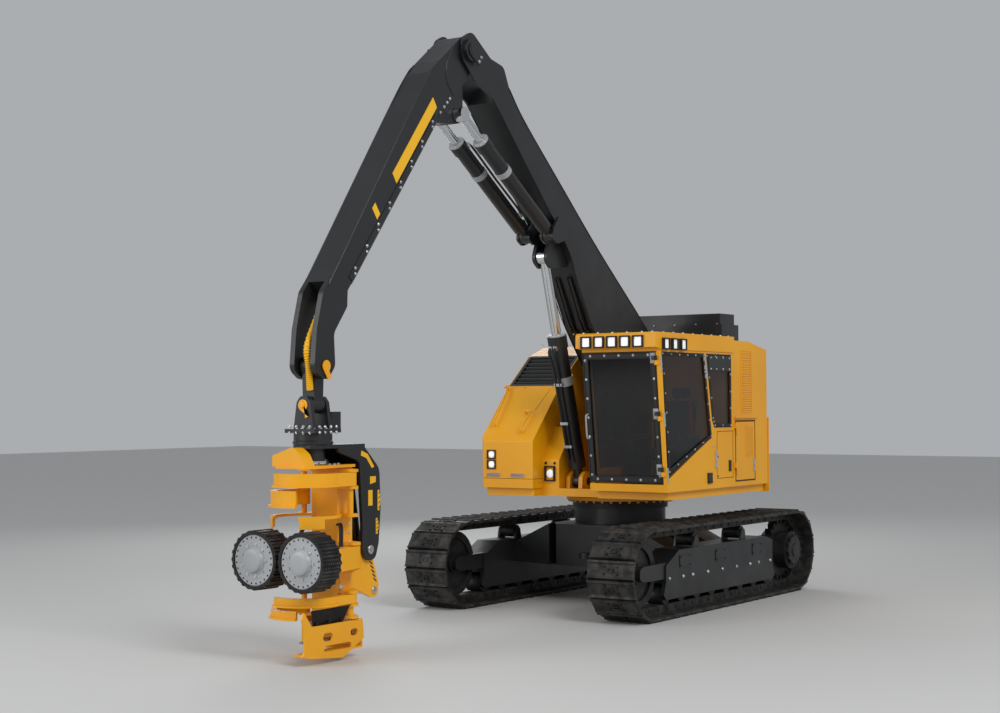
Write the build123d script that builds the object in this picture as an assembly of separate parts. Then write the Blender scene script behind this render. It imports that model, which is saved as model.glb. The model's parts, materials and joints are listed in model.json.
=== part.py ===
from build123d import *

import os
from math import acos, atan2, cos, degrees, hypot, pi, radians, sin, tan

# Tracked forestry harvester, in millimetres. +X runs to the front, where the boom reaches,
# +Y to the cab's side and +Z up. Sizes are measured from the slew axis on the ground, and the
# finished pieces are moved so that the origin is the centre of the whole machine's footprint.

# Undercarriage
TRACK_LENGTH = 5076
TRACK_HEIGHT = 1100
TRACK_SPREAD = 2620
SHOE_WIDTH = 610
SHOE_COUNT = 51
SHOE_THICKNESS = 34
GROUSER_HEIGHT = 18
CHAIN_WIDTH = 190
CHAIN_DEPTH = 95
FRAME_WIDTH = 330
FRAME_TOP = 780
FRAME_BOTTOM = 400
FRAME_HALF_LENGTH = 1480
ROLLER_RADIUS = 105
ROLLER_COUNT = 8
ROLLER_SPACING = 400
CARRIER_RADIUS = 80
CARRIER_SPACING = 1300
IDLER_WIDTH = 150
SPROCKET_WIDTH = 90
SPROCKET_TEETH = 21
TOOTH_HEIGHT = 55
FINAL_DRIVE_RADIUS = 250
CAR_BODY_LENGTH = 1560
CAR_BODY_WIDTH = 1300
CAR_BODY_BOTTOM = 470
CAR_BODY_TOP = 1000
LEG_LENGTH = 460
LEG_TOP = 740
PEDESTAL_RADIUS = 590
TOW_HEIGHT = 620
TOW_REACH = 95
TOW_BORE = 35
TOW_WIDTH = 70
TOW_RADIUS = 85
BELLY_PLATE = 25
SLEW_RING_RADIUS = 640
SLEW_RING_TOP = 1318
SLEW_RING_HEIGHT = 120
RUNNING_GAP = 6
SEAT_GAP = 0.3

# Upper structure
DECK_TOP = 1483
DECK_THICKNESS = 98
CAB_RIGHT = 486
CAB_LEFT = 1544
CAB_FRONT_FOOT = 1560
CAB_FRONT_LEAN = 190
CAB_REAR = -207
CAB_SILL = 1575
CAB_ROOF = 3380
VISOR_DEPTH = 200
CAB_GLASS_TOP = CAB_ROOF - VISOR_DEPTH
CAB_WALL = 50
CAB_PILLAR = 45
WINDOW_TOP = CAB_GLASS_TOP - 30
VISOR_FRONT = 1868
GLASS_THICKNESS = 14
DOOR_THICKNESS = 55
DOOR_FRAME = 75
DOOR_GAP = 6
LAMP_SIZE = 108
LAMP_DEPTH = 45
LAMP_DROP = 108
HOUSING_LEFT = -390
HOUSING_RIGHT = -1180
ENCLOSURE_RIGHT = -1430
HOUSING_FRONT = 1500
HOUSING_CHAMFER = 45
HOOD_FOOT = 2075
HOUSING_ROOF = 3290
HOOD_HEAD = (850, HOUSING_ROOF - 520)
LOUVRE_HEAD = (354, HOUSING_ROOF - 120)
DECK_INSET = 60
STEP_FRONT = 1280
STEP_REAR = 620
STEP_LEFT = -140
STEP_TOP = 2250
ENCLOSURE_TOP = 3335
ENCLOSURE_REAR = -1190
TAIL_RADIUS = 1990
COUNTERWEIGHT_FRONT = -1240
COUNTERWEIGHT_TOP = 2350
COUNTERWEIGHT_DEPTH = 420
SLOT_REAR = -1120
SERVICE_DOOR = (-831, -246, 1540, 2320)

# Working arms and their rest pose, with pins as (x, z)
BOOM_FOOT = (-450, 2250)
BOOM_LENGTH = 5955
BOOM_ANGLE = 46.0
BOOM_WIDTH = 400
BOOM_PLATE = 16
BOOM_FOOT_WIDTH = 560
STICK_LENGTH = 4379
STICK_ANGLE = -55.4
STICK_WIDTH = 330
STICK_PLATE = 12
PIN_RADIUS = 55
PIN_SIDE_GAP = 8
HOIST_BASE = (1010, 1565)
HOIST_EYE = (3080, -190)
HOIST_BARREL_RADIUS = 108
HOIST_ROD_RADIUS = 62
HOIST_BARREL_LENGTH = 1868
HOIST_NECK = 190
HOIST_ROD_LENGTH = 1750
STICK_CYLINDER_SPREAD = 340
STICK_CYLINDER_BASE = (3345, -110)
STICK_CYLINDER_EYE = (680, -320)
STICK_BARREL_RADIUS = 88
STICK_ROD_RADIUS = 50
STICK_BARREL_LENGTH = 1740
STICK_NECK = 165
STICK_CYLINDER_ROD = 1545
EYE_WIDTH = 110

# Harvesting head, with heights from the ground in the rest pose and x from the rotator's axis
HANGER_DROP = 392
ROTATOR_TOP = 2400
ROTATOR_BOTTOM = 2140
ROTATOR_RADIUS = 195
BRACKET_NECK = 120
TILT_PIVOT = (-640, 1050)
TILT_LUG = (-760, 620)
TILT_BARREL_EYE = (-560, 1750)
TILT_BARREL_RADIUS = 60
TILT_ROD_RADIUS = 32
BRACKET_SPREAD = 440
BRACKET_PLATE = 36
HEAD_LEAD = 36
HEAD_TOP = 2122
HEAD_PLATE_TOP = 1935
HEAD_BOTTOM = 28
SPINE_FRONT = -215
SPINE_BACK = -450
SPINE_HALF_WIDTH = 168
HINGE_ROOT = 150
NOSE_WALL = 18
WHEEL_RADIUS = 295
WHEEL_WIDTH = 270
WHEEL_HEIGHT = 1005
WHEEL_SPREAD = 610
WHEEL_BACK = 240
WHEEL_RIBS = 24
RIB_HEIGHT = 12
HUB_RADIUS = 255
WHEEL_AXLE = 48
ARM_PIVOT = (-305, 300)
KNIFE_PIVOT = (-255, 305)
UPPER_KNIVES = ((1725, 1860), (1525, 1690))
LOWER_KNIVES = ((550, 640), (425, 512))
KNIFE_BOSS = 62
KNIFE_RADIUS = 352
KNIFE_LIP = 22
KNIFE_DEPTH = 58
KNIFE_CENTRE = 72
GUIDE_LEVEL = 1412
GUIDE_DROP = 95
GUIDE_WIDTH = 50
KNIFE_ROOT = 108
KNIFE_TIP = -24
HINGE_PLATE = 28
SAW_BACK = -398
SAW_FRONT = 485
SAW_INNER = 190
SAW_RIGHT = -300
SAW_OUTER = 345
SAW_TOP = 380
SAW_PEAK = 540
SAW_PLATE = 20
BAR_PIVOT = (-285, 255)
BAR_LENGTH = 680
BAR_WIDTH = 105
BAR_THICKNESS = 12


def arc_corner(before, here, after, radius):
    """Start, middle and end of the arc that rounds the corner here."""
    to_before = (before - here).normalized()
    to_after = (after - here).normalized()
    half = acos(to_before.dot(to_after)) / 2
    reach = radius / tan(half)
    middle = here + (to_before + to_after).normalized() * (radius / sin(half) - radius)
    return here + to_before * reach, middle, here + to_after * reach


def outline(points):
    """Closed face through (x, y) corners, where a third number rounds that corner."""
    corners = []
    for index, point in enumerate(points):
        here = Vector(*point[:2])
        if len(point) == 2:
            corners.append((here, None, here))
            continue
        before = Vector(*points[index - 1][:2])
        after = Vector(*points[(index + 1) % len(points)][:2])
        corners.append(arc_corner(before, here, after, point[2]))
    edges = []
    for index, (start, middle, end) in enumerate(corners):
        if middle is not None:
            edges.append(ThreePointArc(start, middle, end))
        following = corners[(index + 1) % len(corners)][0]
        if (following - end).length > 0.001:
            edges.append(Line(end, following))
    return make_face(edges)


def shrunk(face, inset):
    """The face drawn in by a distance all round."""
    return offset(face, amount=-inset, kind=Kind.INTERSECTION) if inset else face


def side(points, left, right, at=(0, 0), angle=0, inset=0):
    """Slab between y = left and y = right, its outline in x and z from the point at, turned up."""
    turn = radians(angle)
    plane = Plane(origin=(at[0], left, at[1]), x_dir=(cos(turn), 0, sin(turn)), z_dir=(0, -1, 0))
    return extrude(plane * shrunk(outline(points), inset), left - right, dir=(0, -1, 0))


def flat(points, bottom, top, inset=0):
    """Slab between z = bottom and z = top with its outline in x and y."""
    face = shrunk(outline(points), inset)
    return extrude(Plane.XY.offset(bottom) * face, top - bottom, dir=(0, 0, 1))


def across(points, back, front):
    """Slab between x = back and x = front with its outline in y and z."""
    plane = Plane(origin=(back, 0, 0), x_dir=(0, 1, 0), z_dir=(1, 0, 0))
    return extrude(plane * outline(points), front - back, dir=(1, 0, 0))


def block(x, y, z):
    """Box between pairs of x, y and z."""
    size = [abs(high - low) for low, high in (x, y, z)]
    return Pos(sum(x) / 2, sum(y) / 2, sum(z) / 2) * Box(*size)


def disc_y(x, z, radius, left, right):
    """Round bar across the machine."""
    bar = Cylinder(radius, abs(left - right))
    return Pos(x, (left + right) / 2, z) * Rot(90, 0, 0) * bar


def disc_x(y, z, radius, back, front):
    """Round bar along the machine."""
    return Pos((back + front) / 2, y, z) * Rot(0, 90, 0) * Cylinder(radius, abs(front - back))


def disc_z(x, y, radius, bottom, top):
    """Upright round bar."""
    return Pos(x, y, (bottom + top) / 2) * Cylinder(radius, abs(top - bottom))


def bar_between(start, end, radius, y):
    """Round bar from one (x, z) point to another at the given y."""
    length = hypot(end[0] - start[0], end[1] - start[1])
    angle = degrees(atan2(end[1] - start[1], end[0] - start[0]))
    middle = ((start[0] + end[0]) / 2, (start[1] + end[1]) / 2)
    return Pos(middle[0], y, middle[1]) * Rot(0, 90 - angle, 0) * Cylinder(radius, length)


def along(start, angle, u, v=0):
    """Point (x, z) that lies u along a line at the angle and v to its upper side."""
    turn = radians(angle)
    return (start[0] + u * cos(turn) - v * sin(turn), start[1] + u * sin(turn) + v * cos(turn))


def towards(start, end, distance):
    """Point on the way from start to end."""
    length = hypot(end[0] - start[0], end[1] - start[1])
    share = distance / length
    return (start[0] + (end[0] - start[0]) * share, start[1] + (end[1] - start[1]) * share)


def both_sides(shape):
    """The shape and its mirror image on the other side of the machine's middle plane."""
    return [shape, mirror(shape, Plane.XZ)]


def joined(*solids):
    """One solid from several that touch."""
    result = solids[0]
    for solid in solids[1:]:
        result = result + solid
    return result


nodes = {}


def keep(name, *solids):
    """Stores the solids of one named piece."""
    flat_list = []
    for solid in solids:
        flat_list.extend(solid.solids())
    nodes[name] = flat_list


# Track loops
TRACK_Y = TRACK_SPREAD / 2
LOOP_RADIUS = TRACK_HEIGHT / 2 - GROUSER_HEIGHT - SHOE_THICKNESS
LOOP_END = TRACK_LENGTH / 2 - GROUSER_HEIGHT - SHOE_THICKNESS - LOOP_RADIUS
LOOP_AXIS = TRACK_HEIGHT / 2
LOOP_STRAIGHT = 2 * LOOP_END
LOOP_TURN = pi * LOOP_RADIUS
LOOP_LENGTH = 2 * (LOOP_STRAIGHT + LOOP_TURN)
CHAIN_INNER = LOOP_RADIUS - CHAIN_DEPTH
SHOE_STEPS = (
    # share of the pitch, height above the shoe's inner face
    (0.0, SHOE_THICKNESS * 0.35),
    (0.06, SHOE_THICKNESS + GROUSER_HEIGHT),
    (0.16, SHOE_THICKNESS + GROUSER_HEIGHT),
    (0.23, SHOE_THICKNESS),
    (0.82, SHOE_THICKNESS),
    (0.92, SHOE_THICKNESS + GROUSER_HEIGHT),
)


def loop_point(distance, outward):
    """Point (x, z) of the track loop, clockwise from the rear end of its top run."""
    distance %= LOOP_LENGTH
    reach = LOOP_RADIUS + outward
    if distance < LOOP_STRAIGHT:
        return (distance - LOOP_END, LOOP_AXIS + reach)
    distance -= LOOP_STRAIGHT
    if distance < LOOP_TURN:
        turn = distance / LOOP_RADIUS
        return (LOOP_END + reach * sin(turn), LOOP_AXIS + reach * cos(turn))
    distance -= LOOP_TURN
    if distance < LOOP_STRAIGHT:
        return (LOOP_END - distance, LOOP_AXIS - reach)
    turn = (distance - LOOP_STRAIGHT) / LOOP_RADIUS
    return (-LOOP_END - reach * sin(turn), LOOP_AXIS - reach * cos(turn))


def loop_slab(radius, width, y):
    """Slab with the loop's outline at the given end radius."""
    shape = SlotCenterToCenter(LOOP_STRAIGHT, 2 * radius)
    plane = Plane(origin=(0, y + width / 2, LOOP_AXIS), x_dir=(1, 0, 0), z_dir=(0, -1, 0))
    return extrude(plane * shape, width, dir=(0, -1, 0))


def track_loop(y):
    """Shoes with their grousers and the chain inside them, as one closed loop."""
    pitch = LOOP_LENGTH / SHOE_COUNT
    points = []
    for shoe in range(SHOE_COUNT):
        for share, height in SHOE_STEPS:
            points.append(loop_point((shoe + share) * pitch, height))
    shoes = side(points, y + SHOE_WIDTH / 2, y - SHOE_WIDTH / 2)
    shoes = shoes - loop_slab(LOOP_RADIUS, SHOE_WIDTH + 2, y)
    chain = loop_slab(LOOP_RADIUS + 1, CHAIN_WIDTH, y) - loop_slab(CHAIN_INNER, CHAIN_WIDTH + 2, y)
    return shoes + chain


keep("track_left", track_loop(TRACK_Y))
keep("track_right", track_loop(-TRACK_Y))


# Wheels inside the tracks
GUARD_INNER = CHAIN_WIDTH / 2 + 20
ROLLER_AXIS = LOOP_AXIS - CHAIN_INNER + ROLLER_RADIUS + SEAT_GAP
CARRIER_AXIS = LOOP_AXIS + CHAIN_INNER - CARRIER_RADIUS - SEAT_GAP
YOKE_INNER = IDLER_WIDTH / 2 + RUNNING_GAP


def roller(x, z, radius, y):
    """Roller between the plates that carry it."""
    half = GUARD_INNER - SEAT_GAP
    return disc_y(x, z, radius, y + half, y - half)


rollers = []
for index in range(ROLLER_COUNT):
    x = (index - (ROLLER_COUNT - 1) / 2) * ROLLER_SPACING
    rollers += both_sides(roller(x, ROLLER_AXIS, ROLLER_RADIUS, TRACK_Y))
for x in (-CARRIER_SPACING / 2, CARRIER_SPACING / 2):
    rollers += both_sides(roller(x, CARRIER_AXIS, CARRIER_RADIUS, TRACK_Y))
keep("track_rollers", *rollers)

idler_radius = CHAIN_INNER - SEAT_GAP
idler = disc_y(LOOP_END, LOOP_AXIS, idler_radius, TRACK_Y + IDLER_WIDTH / 2, TRACK_Y - IDLER_WIDTH / 2)
for edge in (IDLER_WIDTH / 2, -IDLER_WIDTH / 2 + 30):
    dish = disc_y(LOOP_END, LOOP_AXIS, idler_radius - 90, TRACK_Y + edge, TRACK_Y + edge - 30)
    idler = idler - dish
idler = idler + disc_y(LOOP_END, LOOP_AXIS, 120, TRACK_Y + YOKE_INNER - SEAT_GAP, TRACK_Y - YOKE_INNER + SEAT_GAP)
keep("idlers", *both_sides(idler))


def sprocket(y):
    """Toothed rim on the final drive's round housing."""
    points = []
    root = CHAIN_INNER - SEAT_GAP - TOOTH_HEIGHT
    for tooth in range(SPROCKET_TEETH):
        for share, height in ((0.0, 0), (0.3, 0), (0.5, TOOTH_HEIGHT), (0.8, TOOTH_HEIGHT)):
            turn = 2 * pi * (tooth + share) / SPROCKET_TEETH
            points.append(((root + height) * sin(turn), (root + height) * cos(turn)))
    half = SPROCKET_WIDTH / 2
    return side(points, y + half, y - half, at=(-LOOP_END, LOOP_AXIS))


final_drive = disc_y(-LOOP_END, LOOP_AXIS, FINAL_DRIVE_RADIUS, TRACK_Y + 215, TRACK_Y - 160)
final_drive = final_drive + disc_y(-LOOP_END, LOOP_AXIS, FINAL_DRIVE_RADIUS - 70, TRACK_Y + 250, TRACK_Y)
keep("sprockets", *both_sides(joined(sprocket(TRACK_Y), final_drive)))


def track_frame(y):
    """Box beam with roller guards, an idler yoke, a final drive mount and carrier posts."""
    half = FRAME_WIDTH / 2
    beam = side(
        [
            (-FRAME_HALF_LENGTH, FRAME_BOTTOM),
            (FRAME_HALF_LENGTH, FRAME_BOTTOM),
            (FRAME_HALF_LENGTH, FRAME_TOP - 170),
            (FRAME_HALF_LENGTH - 330, FRAME_TOP),
            (-FRAME_HALF_LENGTH + 200, FRAME_TOP),
            (-FRAME_HALF_LENGTH, FRAME_TOP - 60),
        ],
        y + half,
        y - half,
    )
    hollow = [
        (-FRAME_HALF_LENGTH + 180, FRAME_BOTTOM + 40),
        (FRAME_HALF_LENGTH - 300, FRAME_BOTTOM + 40),
        (FRAME_HALF_LENGTH - 380, FRAME_TOP - 40),
        (-FRAME_HALF_LENGTH + 240, FRAME_TOP - 40),
    ]
    solids = [beam - side(hollow, y + half - 36, y - half + 36)]
    guard_half = FRAME_HALF_LENGTH + 60
    guard_foot = ROLLER_AXIS - 45
    for inner, outer in ((GUARD_INNER, half), (-half, -GUARD_INNER)):
        points = [
            (-guard_half + 60, FRAME_BOTTOM + 20),
            (-guard_half, guard_foot + 60),
            (-guard_half + 60, guard_foot),
            (guard_half - 60, guard_foot),
            (guard_half, guard_foot + 60),
            (guard_half - 60, FRAME_BOTTOM + 20),
        ]
        solids.append(side(points, y + outer, y + inner))
        yoke = [
            (FRAME_HALF_LENGTH - 250, LOOP_AXIS - 100),
            (LOOP_END, LOOP_AXIS - 90),
            (LOOP_END + 90, LOOP_AXIS - 60, 50),
            (LOOP_END + 90, LOOP_AXIS + 60, 50),
            (LOOP_END, LOOP_AXIS + 90),
            (FRAME_HALF_LENGTH - 250, LOOP_AXIS + 100),
        ]
        yoke_inner = YOKE_INNER if inner > 0 else -half + 20
        yoke_outer = half - 20 if inner > 0 else -YOKE_INNER
        solids.append(side(yoke, y + yoke_outer, y + yoke_inner))
    mount_right = -FRAME_WIDTH / 2
    mount_left = -160 - SEAT_GAP
    mount = [
        (-FRAME_HALF_LENGTH + 120, LOOP_AXIS - 140),
        (-LOOP_END + 40, LOOP_AXIS - 190),
        (-LOOP_END - 150, LOOP_AXIS - 120, 80),
        (-LOOP_END - 150, LOOP_AXIS + 120, 80),
        (-LOOP_END + 40, LOOP_AXIS + 190),
        (-FRAME_HALF_LENGTH + 120, LOOP_AXIS + 180),
    ]
    solids.append(side(mount, y + mount_left, y + mount_right - 30))
    for x in (-CARRIER_SPACING / 2, CARRIER_SPACING / 2):
        for inner, outer in ((GUARD_INNER, GUARD_INNER + 26), (-GUARD_INNER - 26, -GUARD_INNER)):
            post = [
                (x - 80, FRAME_TOP - 20),
                (x + 80, FRAME_TOP - 20),
                (x + 45, CARRIER_AXIS + 40),
                (x - 45, CARRIER_AXIS + 40),
            ]
            solids.append(side(post, y + outer, y + inner))
    return joined(*solids)


frame_left = track_frame(TRACK_Y)
keep("track_frame_left", frame_left)
keep("track_frame_right", mirror(frame_left, Plane.XZ))

# Car body between the tracks, with its slew pedestal
LEG_REACH = TRACK_Y - FRAME_WIDTH / 2 - SEAT_GAP
car_body_plan = [
    (-CAR_BODY_LENGTH / 2, -CAR_BODY_WIDTH / 2 + 150),
    (-CAR_BODY_LENGTH / 2 + 200, -CAR_BODY_WIDTH / 2),
    (CAR_BODY_LENGTH / 2 - 200, -CAR_BODY_WIDTH / 2),
    (CAR_BODY_LENGTH / 2, -CAR_BODY_WIDTH / 2 + 150),
    (CAR_BODY_LENGTH / 2, CAR_BODY_WIDTH / 2 - 150),
    (CAR_BODY_LENGTH / 2 - 200, CAR_BODY_WIDTH / 2),
    (-CAR_BODY_LENGTH / 2 + 200, CAR_BODY_WIDTH / 2),
    (-CAR_BODY_LENGTH / 2, CAR_BODY_WIDTH / 2 - 150),
]
car_body = flat(car_body_plan, CAR_BODY_BOTTOM, CAR_BODY_TOP)
car_body = car_body - flat(car_body_plan, CAR_BODY_BOTTOM + BELLY_PLATE, CAR_BODY_TOP - 40, inset=60)
for x in (-CAR_BODY_LENGTH / 2 + LEG_LENGTH / 2, CAR_BODY_LENGTH / 2 - LEG_LENGTH / 2):
    leg = across(
        [
            (CAR_BODY_WIDTH / 2 - 40, CAR_BODY_BOTTOM),
            (LEG_REACH, CAR_BODY_BOTTOM + 20),
            (LEG_REACH, LEG_TOP),
            (CAR_BODY_WIDTH / 2 - 20, CAR_BODY_TOP - 10),
            (CAR_BODY_WIDTH / 2 - 40, CAR_BODY_TOP),
        ],
        x - LEG_LENGTH / 2,
        x + LEG_LENGTH / 2,
    )
    car_body = joined(car_body, *both_sides(leg))
RING_BOTTOM = SLEW_RING_TOP - SLEW_RING_HEIGHT
car_body = car_body + disc_z(0, 0, PEDESTAL_RADIUS, CAR_BODY_TOP - 30, RING_BOTTOM)
car_body = car_body - disc_z(0, 0, PEDESTAL_RADIUS - 120, CAR_BODY_TOP - 60, RING_BOTTOM + 1)
for end in (1, -1):
    tow_x = end * (CAR_BODY_LENGTH / 2 + TOW_REACH)
    inner_x = end * (CAR_BODY_LENGTH / 2 - 20)
    lug_foot, lug_top = TOW_HEIGHT - TOW_WIDTH / 2, TOW_HEIGHT + TOW_WIDTH / 2
    lug = block((min(inner_x, tow_x), max(inner_x, tow_x)), (-TOW_RADIUS, TOW_RADIUS), (lug_foot, lug_top))
    lug = lug + disc_z(tow_x, 0, TOW_RADIUS, lug_foot, lug_top)
    car_body = car_body + lug - disc_z(tow_x, 0, TOW_BORE, lug_foot - 5, lug_top + 5)
keep("car_body", car_body)

ring = disc_z(0, 0, SLEW_RING_RADIUS - 20, RING_BOTTOM + SEAT_GAP, SLEW_RING_TOP)
ring = ring - disc_z(0, 0, SLEW_RING_RADIUS - 170, RING_BOTTOM, SLEW_RING_TOP + 1)
keep("slew_ring", ring)

# Deck with the upper half of the slew ring, the hoist ears and the boom's foot brackets
DECK_BOTTOM = DECK_TOP - DECK_THICKNESS
deck = flat(
    [
        (CAB_FRONT_FOOT - 120, CAB_RIGHT + 30),
        (CAB_FRONT_FOOT - 120, CAB_LEFT - DECK_INSET),
        (ENCLOSURE_REAR, CAB_LEFT - DECK_INSET),
        (COUNTERWEIGHT_FRONT, CAB_LEFT - 4 * DECK_INSET),
        (COUNTERWEIGHT_FRONT, ENCLOSURE_RIGHT + 2 * DECK_INSET),
        (SLOT_REAR, ENCLOSURE_RIGHT + 2 * DECK_INSET),
        (SLOT_REAR, HOUSING_RIGHT + DECK_INSET),
        (HOUSING_FRONT - DECK_INSET, HOUSING_RIGHT + DECK_INSET),
        (HOUSING_FRONT - DECK_INSET, HOUSING_LEFT - 20),
        (STEP_FRONT, HOUSING_LEFT - 20),
        (STEP_FRONT, CAB_RIGHT + 30),
    ],
    DECK_BOTTOM,
    DECK_TOP - SEAT_GAP,
)
for x in ((SLEW_RING_RADIUS + 60, 1180), (-1180, -SLEW_RING_RADIUS - 60)):
    for y in ((HOUSING_RIGHT + 120, -640), (-560, -200), (200, 560), (640, CAB_LEFT - 164)):
        deck = deck - block(x, y, (DECK_BOTTOM - 1, DECK_TOP - 30))
deck = deck + disc_z(0, 0, SLEW_RING_RADIUS, SLEW_RING_TOP + SEAT_GAP, DECK_BOTTOM + 1)
EYE_HALF = EYE_WIDTH / 2
EAR_INNER = EYE_HALF + PIN_SIDE_GAP
ear_profile = [
    (HOIST_BASE[0] - 170, DECK_TOP - 60),
    (HOIST_BASE[0] + 150, DECK_TOP - 60),
    (HOIST_BASE[0] + 130, HOIST_BASE[1] + 60, 60),
    (HOIST_BASE[0] + 40, HOIST_BASE[1] + 130, 60),
    (HOIST_BASE[0] - 100, HOIST_BASE[1] + 110, 60),
    (HOIST_BASE[0] - 260, DECK_TOP - 10),
]
for left in (EAR_INNER + 55, -EAR_INNER):
    deck = deck + side(ear_profile, left, left - 55)
eye_recess = (HOIST_BASE[0] - 110, HOIST_BASE[0] + 110)
deck = deck - block(eye_recess, (-EAR_INNER, EAR_INNER), (DECK_TOP - 25, DECK_TOP + 5))
EAR_BOSS = 66
deck = deck + disc_y(*HOIST_BASE, 95, EAR_INNER + EAR_BOSS, EAR_INNER)
deck = deck + disc_y(*HOIST_BASE, 95, -EAR_INNER, -EAR_INNER - EAR_BOSS)
FOOT_HALF = BOOM_FOOT_WIDTH / 2
foot_profile = [
    (BOOM_FOOT[0] - 420, DECK_TOP - 20),
    (BOOM_FOOT[0] + 620, DECK_TOP - 20),
    (BOOM_FOOT[0] + 210, BOOM_FOOT[1] - 40, 120),
    (BOOM_FOOT[0] + 80, BOOM_FOOT[1] + 190, 110),
    (BOOM_FOOT[0] - 190, BOOM_FOOT[1] + 120, 110),
]
for left in (FOOT_HALF + PIN_SIDE_GAP + 40, -FOOT_HALF - PIN_SIDE_GAP):
    deck = deck + side(foot_profile, left, left - 40)
keep("deck_frame", deck)

# Cab shell with its window openings
LEAN_ANGLE = degrees(atan2(CAB_FRONT_LEAN, CAB_GLASS_TOP - DECK_TOP))
SHELL_TOP = CAB_ROOF - 80


def front_line(z, behind=0):
    """x of the cab's leaning front at a height, or of a line so far behind it."""
    return CAB_FRONT_FOOT + (z - DECK_TOP) * tan(radians(LEAN_ANGLE)) - behind


cab_profile = [
    (CAB_REAR, DECK_TOP),
    (front_line(DECK_TOP), DECK_TOP),
    (front_line(SHELL_TOP), SHELL_TOP),
    (CAB_REAR, SHELL_TOP),
]
door_window = [
    # left side, between the front pillar and the leaning middle pillar
    (front_line(CAB_SILL + 25, 20), CAB_SILL + 50),
    (front_line(WINDOW_TOP, 62), WINDOW_TOP),
    (600, WINDOW_TOP),
    (405, 2115),
]
rear_window = [(545, WINDOW_TOP), (-140, WINDOW_TOP), (-140, 2235), (330, 2235), (392, 2330)]
right_window = [
    (front_line(1750, 170), 1750),
    (front_line(WINDOW_TOP - 30, 135), WINDOW_TOP - 30),
    (60, WINDOW_TOP - 30),
    (60, 2050),
    (500, 1750),
]
cab = side(cab_profile, CAB_LEFT, CAB_RIGHT)
cab = cab - side(cab_profile, CAB_LEFT - CAB_WALL, CAB_RIGHT + CAB_WALL, inset=CAB_WALL)
for window in (door_window, rear_window):
    cab = cab - side(window, CAB_LEFT + 1, CAB_LEFT - CAB_WALL - 1)
cab = cab - side(right_window, CAB_RIGHT + CAB_WALL + 1, CAB_RIGHT - 1)
DOOR_WAY_TOP = CAB_GLASS_TOP - 25
door_way = [(900, CAB_SILL), (2100, CAB_SILL), (2100, DOOR_WAY_TOP), (900, DOOR_WAY_TOP)]
cab = cab - side(door_way, CAB_LEFT - CAB_PILLAR, CAB_RIGHT + CAB_PILLAR)

# Front door, hung on the left pillar, with its full-length pane
DOOR_FOOT = CAB_SILL + 16
DOOR_HEAD = DOOR_WAY_TOP - DOOR_GAP
DOOR_LEFT = CAB_LEFT - CAB_PILLAR - DOOR_GAP
DOOR_RIGHT = CAB_RIGHT
HINGE_KNUCKLE = 18
HINGE_HEIGHTS = (1700, 2360, 3020)
HINGE_LENGTH = 55
HINGE_Y = CAB_LEFT - CAB_PILLAR + 4
HINGE_FORWARD = 24


def leaning(foot, head, behind, thickness):
    """Outline in x and z of a layer of the leaning front between two heights."""
    return [
        (front_line(foot, behind), foot),
        (front_line(head, behind), head),
        (front_line(head, behind + thickness), head),
        (front_line(foot, behind + thickness), foot),
    ]


def knuckle(z, along_axis):
    """Round hinge knuckle on the leaning axis."""
    x = front_line(z) + HINGE_FORWARD
    place = Pos(x, HINGE_Y, z) * Rot(0, LEAN_ANGLE, 0)
    return place * Pos(0, 0, along_axis) * Cylinder(HINGE_KNUCKLE, HINGE_LENGTH)


door = side(leaning(DOOR_FOOT, DOOR_HEAD, 0, DOOR_THICKNESS), DOOR_LEFT, DOOR_RIGHT)
rebate = leaning(CAB_SILL, DOOR_WAY_TOP, -5, DOOR_THICKNESS + DOOR_GAP + 5)
cab = cab - side(rebate, CAB_RIGHT + CAB_PILLAR + 1, CAB_RIGHT - 1)
pane_foot = DOOR_FOOT + DOOR_FRAME
pane_head = DOOR_HEAD - DOOR_FRAME
opening = leaning(pane_foot, pane_head, -5, DOOR_THICKNESS + 10)
door = door - side(opening, DOOR_LEFT - DOOR_FRAME, DOOR_RIGHT + DOOR_FRAME)
door_pane = leaning(pane_foot + SEAT_GAP, pane_head - SEAT_GAP, 14, GLASS_THICKNESS)
door_glass = side(door_pane, DOOR_LEFT - DOOR_FRAME - SEAT_GAP, DOOR_RIGHT + DOOR_FRAME + SEAT_GAP)
for z in HINGE_HEIGHTS:
    x = front_line(z)
    half = HINGE_LENGTH / 2
    cab_leaf = block((x - 20, x + HINGE_FORWARD), (HINGE_Y, CAB_LEFT - 12), (z - half + 4, z + half - 4))
    cab = cab + (cab_leaf + knuckle(z, 0))
    upper = z + HINGE_LENGTH + 1
    x = front_line(upper)
    span = (upper - half + 4, upper + half - 4)
    door_leaf = block((x - 20, x + HINGE_FORWARD), (DOOR_LEFT - 50, DOOR_LEFT), span)
    door_leaf = door_leaf + block((x + 6, x + HINGE_FORWARD), (DOOR_LEFT - 1, HINGE_Y), span)
    door = door + (door_leaf + knuckle(z, HINGE_LENGTH + 1))
keep("cab_shell", cab)
keep("cab_door", door)
keep("cab_door_glass", door_glass)
panes = []
for window in (door_window, rear_window):
    panes.append(side(window, CAB_LEFT - 12, CAB_LEFT - 12 - GLASS_THICKNESS, inset=SEAT_GAP))
panes.append(side(right_window, CAB_RIGHT + 12 + GLASS_THICKNESS, CAB_RIGHT + 12, inset=SEAT_GAP))
keep("cab_side_glass", *panes)

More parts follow.
